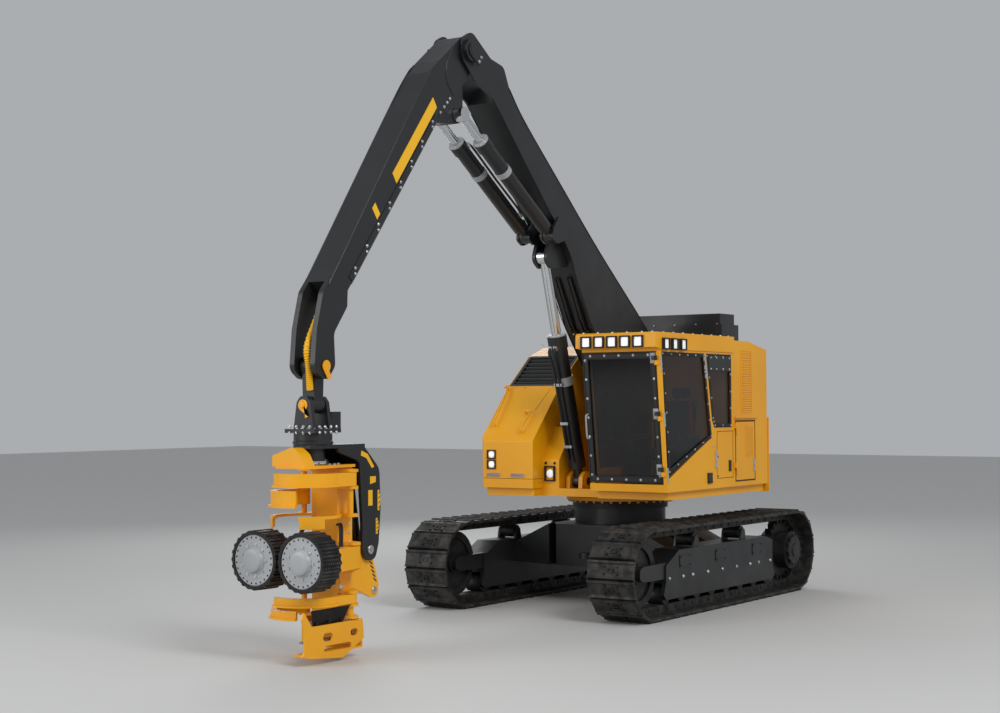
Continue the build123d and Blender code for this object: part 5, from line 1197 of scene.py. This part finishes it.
slots = bmesh.new()
for y in (-0.98, -0.615):
    add_frame(slots, rectangle(at(NOSE_FACE, y, SLOT_Z), LEFT, UP, 0.1, 0.022), AHEAD, 0.009, 0.012)
    bar = [
        at(NOSE_X + 0.004, y - 0.095, SLOT_Z),
        at(NOSE_X + 0.014, y, SLOT_Z + 0.002),
        at(NOSE_X + 0.004, y + 0.095, SLOT_Z),
    ]
    add_tube(slots, bar, 0.007, 8, 6)
piece("grab_slots", slots, "silver_enamel", "upper", 0.002)

step_frame = bmesh.new()
centre = at(STEP_X - 0.001, -0.27, 1.665)
add_frame(step_frame, rectangle(centre, LEFT, UP, 0.075, 0.095), AHEAD, 0.018, 0.03)
add_bolts(step_frame, [at(STEP_X, y, 1.795) for y in (-0.335, -0.205)], AHEAD, 0.013)
piece("step_lamp_frame", step_frame, "black_rubber", "upper", 0.003)
step_lens = bmesh.new()
add_turned(step_lens, centre, AHEAD, STEP_LENS, 28)
piece("step_lamp", step_lens, "lamp_lens", "upper", smooth=True)

bolts = bmesh.new()
for share in (0.12, 0.32, 0.52, 0.72, 0.92):
    y = HOUSING_RIGHT + 0.05 + share * (HOUSING_LEFT - HOUSING_RIGHT - 0.1)
    add_bolt(bolts, on_hood(0.03, y), hood_normal, 0.009)
add_bolts(bolts, [at(x, HOUSING_LEFT, 1.56) for x in (1.35, 0.95, 0.55, 0.25)], LEFT, 0.01)
add_bolts(bolts, [at(x, HOUSING_RIGHT, 1.525) for x in (-0.9, -0.4, 0.1, 0.55, 1.0, 1.35)], -LEFT, 0.01)
piece("hood_bolts", bolts, "bright_fastener", "upper")

# %% [markdown]
# The engine enclosure breathes through tall vents. Each vent is a frame with small slats set at an
# angle, so that rain runs out and air gets in.

# %% Engine enclosure: vents
VENT_RIM = 0.018


def add_vent(mesh, x_range, y, z_range, slats, facing=1):
    """Upright vent with slanted slats on a side that faces left (1) or right (-1)."""
    rear, front = x_range
    foot, head = z_range
    middle = at((rear + front) / 2, y, (foot + head) / 2)
    base = middle - outward(facing) * 0.001
    rim = rectangle(base, AHEAD * -facing, UP, (front - rear) / 2, (head - foot) / 2)
    add_frame(mesh, rim, outward(facing), VENT_RIM, 0.009)
    pitch = (head - foot - 2 * VENT_RIM) / slats
    tilt = Vector((0, facing * 0.5, -0.85)).normalized()
    for index in range(slats):
        place = Vector((middle.x, y + facing * 0.003, foot + VENT_RIM + pitch * (index + 0.5)))
        add_block(mesh, place, (front - rear - 0.03, pitch * 0.8, 0.004), AHEAD, tilt)


vents = bmesh.new()
add_vent(vents, (-0.74, -0.415), CAB_LEFT, (2.42, 3.22), 26)
add_vent(vents, (-0.95, -0.35), HOUSING_RIGHT, (2.42, 2.98), 18, -1)
piece("enclosure_vents", vents, "yellow_enamel", "upper")
vents = bmesh.new()
add_vent(vents, (-0.76, -0.54), CAB_LEFT + 0.002, (1.86, 2.25), 13)
piece("service_door_vent", vents, "yellow_enamel", "service_door")

# %% [markdown]
# The service door on the left side has a dark seal and a silver latch, and a drip rail above it
# keeps the rain out. Seams and rows of bolts divide the enclosure's top.

# %% Engine enclosure: service door and top
ENCLOSURE_RIGHT = -1.43
DOOR_SEAL = ((-0.252, 1.547), (-0.825, 1.547), (-0.825, 2.313), (-0.252, 2.313))
SERVICE_LATCH = ((-0.765, 1.66), (-0.805, 1.66), (-0.805, 1.82), (-0.765, 1.82))
SERVICE_KNOB = ((0, 0.017), (0.012, 0.017), (0.014, 0.013))
HINGE_BOLTS = ((-0.285, 1.68), (-0.268, 1.68), (-0.285, 2.18), (-0.268, 2.18))
DRIP_RAIL = ((-0.215, 2.345), (-0.86, 2.345), (-0.86, 2.37), (-0.215, 2.37))
SLOPE_FACING = (0.175, 0, 0.985)
seal = bmesh.new()
add_frame(seal, upright(DOOR_SEAL, CAB_LEFT + 0.001), LEFT, 0.012, 0.004)
piece("service_door_seal", seal, "black_rubber", "service_door")
latch = bmesh.new()
add_plate(latch, upright(SERVICE_LATCH, CAB_LEFT + 0.014), LEFT, 0.014)
add_turned(latch, at(-0.785, CAB_LEFT + 0.01, 1.74), LEFT, SERVICE_KNOB, 18)
add_bolts(latch, upright(((-0.785, 1.68), (-0.785, 1.8)), CAB_LEFT + 0.013), LEFT, 0.007)
add_bolts(latch, upright(HINGE_BOLTS, CAB_LEFT + 0.02), LEFT, 0.007)
piece("service_door_latch", latch, "silver_enamel", "service_door", 0.002)

rail = bmesh.new()
add_plate(rail, upright(DRIP_RAIL, CAB_LEFT + 0.03), LEFT, 0.032)
piece("drip_rail", rail, "yellow_enamel", "upper", 0.003)
seams = bmesh.new()
for y in (0.95, 0.3, -0.35, -1.0):
    add_seam(seams, at(-0.65, y, 3.3315), at(-1.15, y, 3.2425), SLOPE_FACING)
add_seam(seams, at(-0.35, ENCLOSURE_RIGHT + 0.1, 3.336), at(-0.35, CAB_LEFT - 0.05, 3.336), UP)
piece("enclosure_seams", seams, "black_rubber", "upper")
bolts = bmesh.new()
for y in (1.45, 1.1, 0.75, 0.4, 0.05, -0.3, -0.65, -1.0, -1.35):
    add_bolt(bolts, at(-0.25, y, 3.335), UP, 0.012)
for y in (0.82, 0.5, 0.18, -0.14, -0.46, -0.78):
    add_bolt(bolts, at(-1.205, y, 3.6), UP, 0.011)
piece("enclosure_bolts", bolts, "bright_fastener", "upper")

# %% [markdown]
# The seat shows through the dark glass. Its cushions start as plain blocks, are remeshed into a
# fine even skin, and a short cloth simulation with air pressure inside pumps them up until their
# faces crown. A cap on the travel keeps them inside the seat's real size. The sewn channels are
# pressed in afterwards.

# %% Operator's seat
SEAT_X = 0.52
SEAT_Y = 1.015
CAB_FLOOR = 1.533
CONSOLE_Y = 0.345
VOXEL = 0.006
SWELL_FRAMES = 20
AIR_PRESSURE = 4
CHANNEL_HALF_WIDTH = 0.012
LEAN = Vector((-0.13, 0, 0.74)).normalized()


def remeshed(name, middle, size, forward):
    """Rounded block as an even skin of small faces."""
    block = bmesh.new()
    add_block(block, middle, size, forward, LEFT)
    bmesh.ops.recalc_face_normals(block, faces=block.faces[:])
    source = placed(f"{name}_block", mesh_data(f"{name}_block", block))
    rounding = source.modifiers.new("rounding", "BEVEL")
    rounding.width = min(size) * 0.42
    rounding.segments = 5
    skin = source.modifiers.new("skin", "REMESH")
    skin.mode = "VOXEL"
    skin.voxel_size = VOXEL
    graph = bpy.context.evaluated_depsgraph_get()
    shaped = bpy.data.meshes.new_from_object(source.evaluated_get(graph))
    bpy.data.objects.remove(source)
    return shaped


def swell(made, cap):
    """Pumps a closed skin up with air, moving no point further than the cap."""
    rest = [vertex.co.copy() for vertex in made.data.vertices]
    cloth = made.modifiers.new("swelling", "CLOTH")
    cloth.settings.use_pressure = True
    cloth.settings.uniform_pressure_force = AIR_PRESSURE
    cloth.settings.effector_weights.gravity = 0
    cloth.settings.quality = 4
    for number in range(1, SWELL_FRAMES + 1):
        scene.frame_set(number)
    grown = made.evaluated_get(bpy.context.evaluated_depsgraph_get()).data
    moved = [vertex.co.copy() for vertex in grown.vertices]
    made.modifiers.remove(cloth)
    scene.frame_set(1)
    for vertex, start, end in zip(made.data.vertices, rest, moved):
        travel = end - start
        if travel.length > cap:
            travel = travel.normalized() * cap
        vertex.co = start + travel


def sew(data, lines, depth):
    """Presses channels into a skin along planes given by a point and a normal."""
    normals = [vertex.normal.copy() for vertex in data.vertices]
    for vertex, normal in zip(data.vertices, normals):
        for point, across in lines:
            distance = abs((vertex.co - point).dot(across))
            if distance < CHANNEL_HALF_WIDTH:
                vertex.co -= normal * depth * (0.5 + 0.5 * cos(pi * distance / CHANNEL_HALF_WIDTH))


def cushion(name, middle, size, forward, cap, lines, depth=0.008):
    """Padded piece that rides on the upper machine."""
    data = remeshed(name, middle, size, forward)
    data.materials.clear()
    data.materials.append(MATERIALS["seat_cloth"])
    made = placed(name, data)
    swell(made, cap)
    sew(data, lines, depth)
    data.polygons.foreach_set("use_smooth", [True] * len(data.polygons))
    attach(made, "upper")
    print(name, len(data.polygons), "faces")
    return made


seat_floor = at(SEAT_X, SEAT_Y, CAB_FLOOR)
base = seat_floor + Vector((0.01, 0, 0.395))
base_lines = [(base + LEFT * shift, LEFT) for shift in (-0.15, 0.15)]
base_lines += [(base + AHEAD * shift, AHEAD) for shift in (-0.12, 0.0, 0.12)]
cushion("seat_cushion", base, (0.48, 0.46, 0.09), AHEAD, 0.02, base_lines)
back = seat_floor + Vector((-0.255, 0, 0.75))
back_lines = [(back + LEFT * shift, LEFT) for shift in (-0.14, 0.14)]
back_lines += [(back + LEAN * shift, LEAN) for shift in (-0.2, -0.07, 0.06, 0.19)]
cushion("seat_back", back, (0.6, 0.44, 0.085), LEAN, 0.02, back_lines)
head_rest = back + LEAN * 0.385
cushion("head_rest", head_rest, (0.13, 0.25, 0.07), LEAN, 0.01, [(head_rest, LEFT)], 0.004)
for side, name in ((1, "left"), (-1, "right")):
    pad = seat_floor + Vector((0.1, side * CONSOLE_Y, 0.592))
    cushion(f"arm_rest_{name}", pad, (0.32, 0.1, 0.035), AHEAD, 0.004, [], 0.0)

# %% [markdown]
# The seat stands on rubber bellows. A console with three buttons and a grip stands on either side,
# a thin shell closes the backrest and two posts carry the head rest.

# %% Seat frame
FOLDS = 6
FOLD_PITCH = 0.042
CONSOLE = ((-0.21, 0.4), (-0.2, 0.57), (0.2, 0.56), (0.24, 0.52), (0.25, 0.42), (0.22, 0.01), (-0.19, 0.01))
BUTTONS = ((0.12, 0.03), (0.12, -0.03), (0.17, 0.0))
BUTTON = ((0, 0.011), (0.014, 0.011), (0.017, 0.008))
GRIP = (
    (0.0, 0.03), (0.015, 0.026), (0.03, 0.014), (0.07, 0.013), (0.09, 0.021), (0.13, 0.026), (0.165, 0.022),
    (0.175, 0.012),
)
bellows = [(0.0, 0.165), (0.03, 0.165)]
for index in range(FOLDS):
    z = 0.035 + FOLD_PITCH * index
    bellows += [(z, 0.15), (z + 0.021, 0.165), (z + 0.036, 0.15)]
stand = bmesh.new()
add_turned(stand, seat_floor + UP * 0.001, UP, bellows, 28)
piece("seat_bellows", stand, "cab_trim", "upper", smooth=True)

trim = bmesh.new()
add_block(trim, seat_floor + UP * 0.312, (0.4, 0.36, 0.035))
for side in (-1, 1):
    add_block(trim, seat_floor + Vector((0.01, side * 0.19, 0.335)), (0.44, 0.03, 0.022))
    console = seat_floor + Vector((0.16, side * CONSOLE_Y, 0))
    add_plate(trim, [console + Vector((x, 0.06, z)) for x, z in CONSOLE], LEFT, 0.12)
    for x, y in BUTTONS:
        add_turned(trim, console + Vector((x, y, 0.555)), (0.2, 0, 1), BUTTON, 12)
    add_turned(trim, console + Vector((0.23, 0, 0.53)), (0.15, 0, 1), GRIP, 16)
add_block(trim, back - AHEAD * 0.055, (0.58, 0.4, 0.02), LEAN, LEFT)
for side in (-1, 1):
    add_turned(trim, back + LEAN * 0.26 + LEFT * (side * 0.06), LEAN, [(0, 0.007), (0.1, 0.007)], 12)
piece("seat_frame", trim, "cab_trim", "upper", 0.008)

# %% [markdown]
# A red belt runs up the backrest's left edge. The CAD model's seat is a plain block, and it is hidden.
# The belt is named as the piece that stands in for it.

# %% Seat belt
BELT_RUN = (
    # place from the middle of the seat's floor
    (-0.17, 0.245, 0.40), (-0.13, 0.25, 0.46), (-0.16, 0.235, 0.62),
    (-0.195, 0.2, 0.86), (-0.24, 0.17, 1.09), (-0.31, 0.16, 1.12),
)
BELT_SECTION = ((-0.024, 0.0), (0.024, 0.0), (0.024, 0.003), (-0.024, 0.003))
belt = bmesh.new()
run = smooth_path([seat_floor + Vector(point) for point in BELT_RUN], 8)
add_skin(belt, [[place + Vector((lift, width, 0)) for width, lift in BELT_SECTION] for place in run])
strap = piece("seat_belt", belt, "belt_webbing", "upper")
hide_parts("operator_seat")

# %% [markdown]
# Each track shoe is held to the chain by four bolts, and has a small opening that lets mud out.
# The shoes follow the same loop as the CAD model: two straights joined by half circles.

# %% Tracks
TRACK_Y = 1.31
LOOP_RADIUS = 0.498
LOOP_END = 1.988
LOOP_AXIS = 0.55
LOOP_LENGTH = 4 * LOOP_END + 2 * pi * LOOP_RADIUS
SHOE_COUNT = 51
SHOE_PITCH = LOOP_LENGTH / SHOE_COUNT
FIRST_SHOE = 0.525
BOLT_FOOT = 0.028
PIN_DEPTH = 0.052
PIN_SIDE = 0.094
SHOE_BOLT = ((-0.002, 0.0155), (0.018, 0.0155), (0.021, 0.012))
LINK_PIN = ((0, 0.026), (0.008, 0.026), (0.01, 0.015))


def on_loop(distance, proud):
    """Place and outward direction on the track's loop, clockwise from the rear of its top run."""
    straight = 2 * LOOP_END
    half_turn = pi * LOOP_RADIUS
    distance %= LOOP_LENGTH
    if distance < straight:
        centre, turn = distance - LOOP_END, 0.0
    elif distance < straight + half_turn:
        centre, turn = LOOP_END, (distance - straight) / LOOP_RADIUS
    elif distance < 2 * straight + half_turn:
        centre, turn = LOOP_END - (distance - straight - half_turn), pi
    else:
        centre, turn = -LOOP_END, pi + (distance - 2 * straight - half_turn) / LOOP_RADIUS
    away = Vector((sin(turn), 0, cos(turn)))
    return at(centre, 0, LOOP_AXIS) + away * (LOOP_RADIUS + proud), away


for name, sign in (("left", 1), ("right", -1)):
    shoe_bolts = bmesh.new()
    openings = bmesh.new()
    pins = bmesh.new()
    for shoe in range(SHOE_COUNT):
        place, away = on_loop((shoe + FIRST_SHOE) * SHOE_PITCH, BOLT_FOOT)
        middle = place + outward(sign) * TRACK_Y
        along = Vector((away.z, 0, -away.x))
        for forward in (-0.042, 0.042):
            for side in (-0.085, 0.085):
                add_turned(shoe_bolts, middle + along * forward + LEFT * side, away, SHOE_BOLT, 6)
        add_frame(openings, rectangle(middle, along, LEFT, 0.03, 0.038), away, 0.012, 0.012)
        link = middle - away * (BOLT_FOOT + PIN_DEPTH)
        for side in (-1, 1):
            add_turned(pins, link + outward(side) * PIN_SIDE, outward(side), LINK_PIN, 10)
    piece(f"shoe_bolts_{name}", shoe_bolts, "undercarriage_steel", "undercarriage")
    piece(f"shoe_openings_{name}", openings, "undercarriage_steel", "undercarriage")
    piece(f"link_pins_{name}", pins, "undercarriage_steel", "undercarriage")

# %% [markdown]
# The track frames have rows of bolts and three bolted covers on each side. The final drive at the
# rear of each track is closed by a round cover in a ring of bolts.

# %% Track frames and final drives
FRAME_SIDE = 1.475
COVER_SIDE = FRAME_SIDE + 0.008
COVER_Z = 0.64
DRIVE_SIDE = 1.56
DRIVE_COVER = ((0, 0.19), (0.014, 0.185), (0.014, 0.09), (0.026, 0.085), (0.028, 0.05))
frame_bolts = bmesh.new()
covers = bmesh.new()
drives = bmesh.new()
for sign in (1, -1):
    facing = outward(sign)
    for x in (-1.4, -1.05, -0.8, -0.4, 0.0, 0.4, 0.8, 1.05, 1.4):
        add_bolt(frame_bolts, at(x, sign * FRAME_SIDE, 0.455), facing, 0.015)
    for x in (-1.0, 0.05, 1.0):
        middle = at(x, sign * COVER_SIDE, COVER_Z)
        add_plate(covers, rectangle(middle, AHEAD, UP, 0.14, 0.075), facing, 0.01)
        add_bolts(covers, rectangle(middle, AHEAD, UP, 0.115, 0.052), facing, 0.009)
    hub = at(-LOOP_END, sign * DRIVE_SIDE, LOOP_AXIS)
    add_turned(drives, hub - facing * 0.003, facing, DRIVE_COVER, 36)
    add_bolts(drives, ring_of(hub, AHEAD, UP, 0.215, 14), facing, 0.013)
piece("track_frame_bolts", frame_bolts, "bright_fastener", "undercarriage")
piece("track_frame_covers", covers, "black_enamel", "undercarriage", 0.003)
piece("final_drive_covers", drives, "undercarriage_steel", "undercarriage")

# %% [markdown]
# The whole upper machine turns on the slew ring. A yellow flange under the deck holds it with a
# close row of bolts.

# %% Slew ring
RING_BOLTS = 36
RING_TOP = 1.338
RING_DEPTH = 0.042
RING_SECTION = ((0, 0.63), (0, 0.7), (RING_DEPTH, 0.7), (RING_DEPTH, 0.63))
RING_BOLT = ((-0.002, 0.017), (0.022, 0.017), (0.026, 0.012))
flange = bmesh.new()
add_turned(flange, at(0, 0, RING_TOP), -UP, RING_SECTION, 72, closed=True)
piece("slew_flange", flange, "yellow_enamel", "upper", smooth=True)
heads = bmesh.new()
for place in ring_of(at(0, 0, RING_TOP - RING_DEPTH), AHEAD, LEFT, 0.668, RING_BOLTS):
    add_turned(heads, place, -UP, RING_BOLT, 6)
piece("slew_flange_bolts", heads, "yellow_enamel", "upper")

# %% [markdown]
# The head's frame is crowded: dark stripes cross the blank hazard plates, silver caps close its
# pivots, and bolts stand on its plates.

# %% Head: stripes, caps and bolts
HEAD_LEAD = 0.036
SPINE_SIDE = 0.168
GUSSET_SIDE = 0.176
BRACKET_STRIPES = (
    # top, bottom and back edge of a hazard plate
    (1.66, 1.44, -0.81),
    (1.37, 1.2, -0.78),
)
BRACKET_STRIPE = ((0.008, 0.012), (0.034, -0.006), (0.034, 0.004), (0.008, 0.022))
GUSSET_EDGE = (Vector((-0.722, 0.97)), Vector((-0.822, 0.7)))
GUSSET_STRIPE = ((0.012, -0.02), (0.062, 0.012), (0.062, 0.03), (0.012, -0.002))
GUSSET_STRIPES = 6
PIVOT_CAP = ((0, 0.046), (0.008, 0.046), (0.012, 0.04), (0.014, 0.022), (0.024, 0.02), (0.026, 0.014))
LUG_CAP = ((0, 0.04), (0.01, 0.04), (0.014, 0.034), (0.016, 0.018), (0.026, 0.016))
KNOB = ((0, 0.034), (0.02, 0.034), (0.024, 0.026), (0.03, 0.024), (0.032, 0.012))
TOP_BOLTS = (
    (-0.27, 0.13), (-0.19, 0.15), (-0.11, 0.15), (-0.33, 0.09),
    (-0.27, -0.13), (-0.19, -0.15), (-0.11, -0.15),
)
tilt_pin = joint_place["head_tilt"]
tilt_eye = on_head(-0.76, 0, 0.62)

stripes = bmesh.new()
for top, bottom, back in BRACKET_STRIPES:
    for index in range(4):
        z = bottom + (top - bottom) * (index + 0.6) / 4.4
        corners = [on_head(back + x, BRACKET_SIDE + 0.0045, z + rise) for x, rise in BRACKET_STRIPE]
        add_plate(stripes, corners, LEFT, 0.002)
piece("bracket_stripes", stripes, "black_enamel", "tilt_bracket")

caps = bmesh.new()
for sign in (1, -1):
    add_turned(caps, tilt_pin + outward(sign) * 0.229, outward(sign), PIVOT_CAP, 28)
piece("tilt_pivot_caps", caps, "bright_fastener", "head")

bolts = bmesh.new()
add_bolts(bolts, [on_head(x + HEAD_LEAD, y, 1.936) for x, y in TOP_BOLTS], UP, 0.014)
for z in (1.33, 1.24, 1.15, 0.86, 0.77):
    for sign in (1, -1):
        add_bolt(bolts, on_head(-0.4 + HEAD_LEAD, sign * SPINE_SIDE, z), outward(sign), 0.012)
for sign in (1, -1):
    knob = on_head(-0.26 + HEAD_LEAD, sign * (SPINE_SIDE - 0.002), 0.7)
    add_turned(bolts, knob, outward(sign), KNOB, 20)
piece("head_bolts", bolts, "bright_fastener", "head")

stripes = bmesh.new()
for index in range(GUSSET_STRIPES):
    edge_x, edge_z = GUSSET_EDGE[0].lerp(GUSSET_EDGE[1], (index + 0.5) / GUSSET_STRIPES)
    for sign in (1, -1):
        side_y = sign * (GUSSET_SIDE + 0.0015)
        corners = [on_head(edge_x + x, side_y, edge_z + z) for x, z in GUSSET_STRIPE]
        add_plate(stripes, corners, outward(sign), 0.002)
piece("gusset_stripes", stripes, "black_enamel", "head")

caps = bmesh.new()
for sign in (1, -1):
    add_turned(caps, tilt_eye + outward(sign) * (GUSSET_SIDE - 0.002), outward(sign), LUG_CAP, 24)
piece("tilt_lug_caps", caps, "bright_fastener", "head")

# %% [markdown]
# A black shield leans outward over the left wall of the saw's guard, and the saw's motor lies behind it. Two hoses
# on each side reach from the head's frame to the arms of the feed wheels. They cross where an arm swings and are
# not tied to either body.

# %% Head: shield, motor and hoses
SHIELD_ROWS = (
    # ends of one edge from the rotator's axis, distance to the left, height
    (-0.1, 0.36, 0.3, 0.372),
    (-0.17, 0.43, 0.334, 0.53),
    (-0.175, 0.435, 0.347, 0.537),
)
SHIELD_STEPS = 6
MOTOR = (
    (0, 0.02), (0, 0.036), (0.03, 0.036), (0.034, 0.041), (0.12, 0.041), (0.124, 0.034), (0.15, 0.034),
    (0.155, 0.02),
)
HOSE_RUN = (
    (-0.22, 0.155, 1.33), (-0.2, 0.2, 1.335), (-0.16, 0.245, 1.29),
    (-0.13, 0.27, 1.2), (-0.11, 0.285, 1.13), (-0.11, 0.287, 1.1),
)
FITTING = ((0, 0.017), (0.012, 0.017), (0.014, 0.012), (0.03, 0.012), (0.032, 0.009))
shield = bmesh.new()
rows = []
for rear, front, y, z in SHIELD_ROWS:
    points = along_line(on_head(rear, y, z), on_head(front, y, z), SHIELD_STEPS + 1)
    rows.append([shield.verts.new(point) for point in points])
for lower, upper in zip(rows, rows[1:]):
    for index in range(SHIELD_STEPS):
        shield.faces.new((lower[index], lower[index + 1], upper[index + 1], upper[index]))
bmesh.ops.solidify(shield, geom=shield.faces[:], thickness=0.005)
add_bolts(shield, [on_head(x, 0.312, 0.4) for x in (-0.06, 0.13, 0.32)], (0, 1, -0.2), 0.012)
piece("saw_shield", shield, "black_enamel", "head", smooth=True)

motor = bmesh.new()
add_turned(motor, on_head(-0.31, -0.23, 0.29), AHEAD, MOTOR, 28)
piece("saw_motor", motor, "silver_enamel", "head", smooth=True)

for name, sign in (("left", 1), ("right", -1)):
    hoses = bmesh.new()
    for shift in (0.0, 0.034):
        add_tube(hoses, [on_head(x + shift, sign * y, z) for x, y, z in HOSE_RUN], 0.0115, 12, 8)
    loops = piece(f"feed_hoses_{name}", hoses, "black_rubber", None, smooth=True)
    start, end = (on_head(-0.2, sign * 0.3, z) for z in (1.3, 1.14))
    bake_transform(loops)
    fittings = bmesh.new()
    for x in (-0.1, -0.03):
        add_turned(fittings, on_head(x, sign * 0.268, 1.119), UP, FITTING, 12)
    piece(f"feed_fittings_{name}", fittings, "bright_fastener", f"feed_arm_{name}")

# %% [markdown]
# A bundle of hoses drops through the stick's fork in a yellow spiral sleeve. It runs past the hanger's pivot and
# is not tied to either body.

# %% Hose sleeve in the fork
SLEEVE_RADIUS = 0.03
SLEEVE_DROP = ((0.135, 0.04, 0.2), (0.115, 0.04, 0.02), (0.1, 0.04, -0.14), (0.085, 0.035, -0.24))
SPIRAL_TURN = ((0, 0.03), (0.004, 0.036), (0.012, 0.036), (0.016, 0.03))
run = [on_stick(3.72, 0.27, 0.035), on_stick(3.95, 0.26, 0.035)]
run += [STICK_TIP + Vector(point) for point in SLEEVE_DROP]
sleeve = bmesh.new()
add_tube(sleeve, run, SLEEVE_RADIUS, 16, 8)
path = smooth_path(run[1:], 14)
for place, after in zip(path[:-1:2], path[1::2]):
    add_turned(sleeve, place, after - place, SPIRAL_TURN, 16)
bundle = piece("hose_sleeve", sleeve, "label_yellow", None, smooth=True)
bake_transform(bundle)
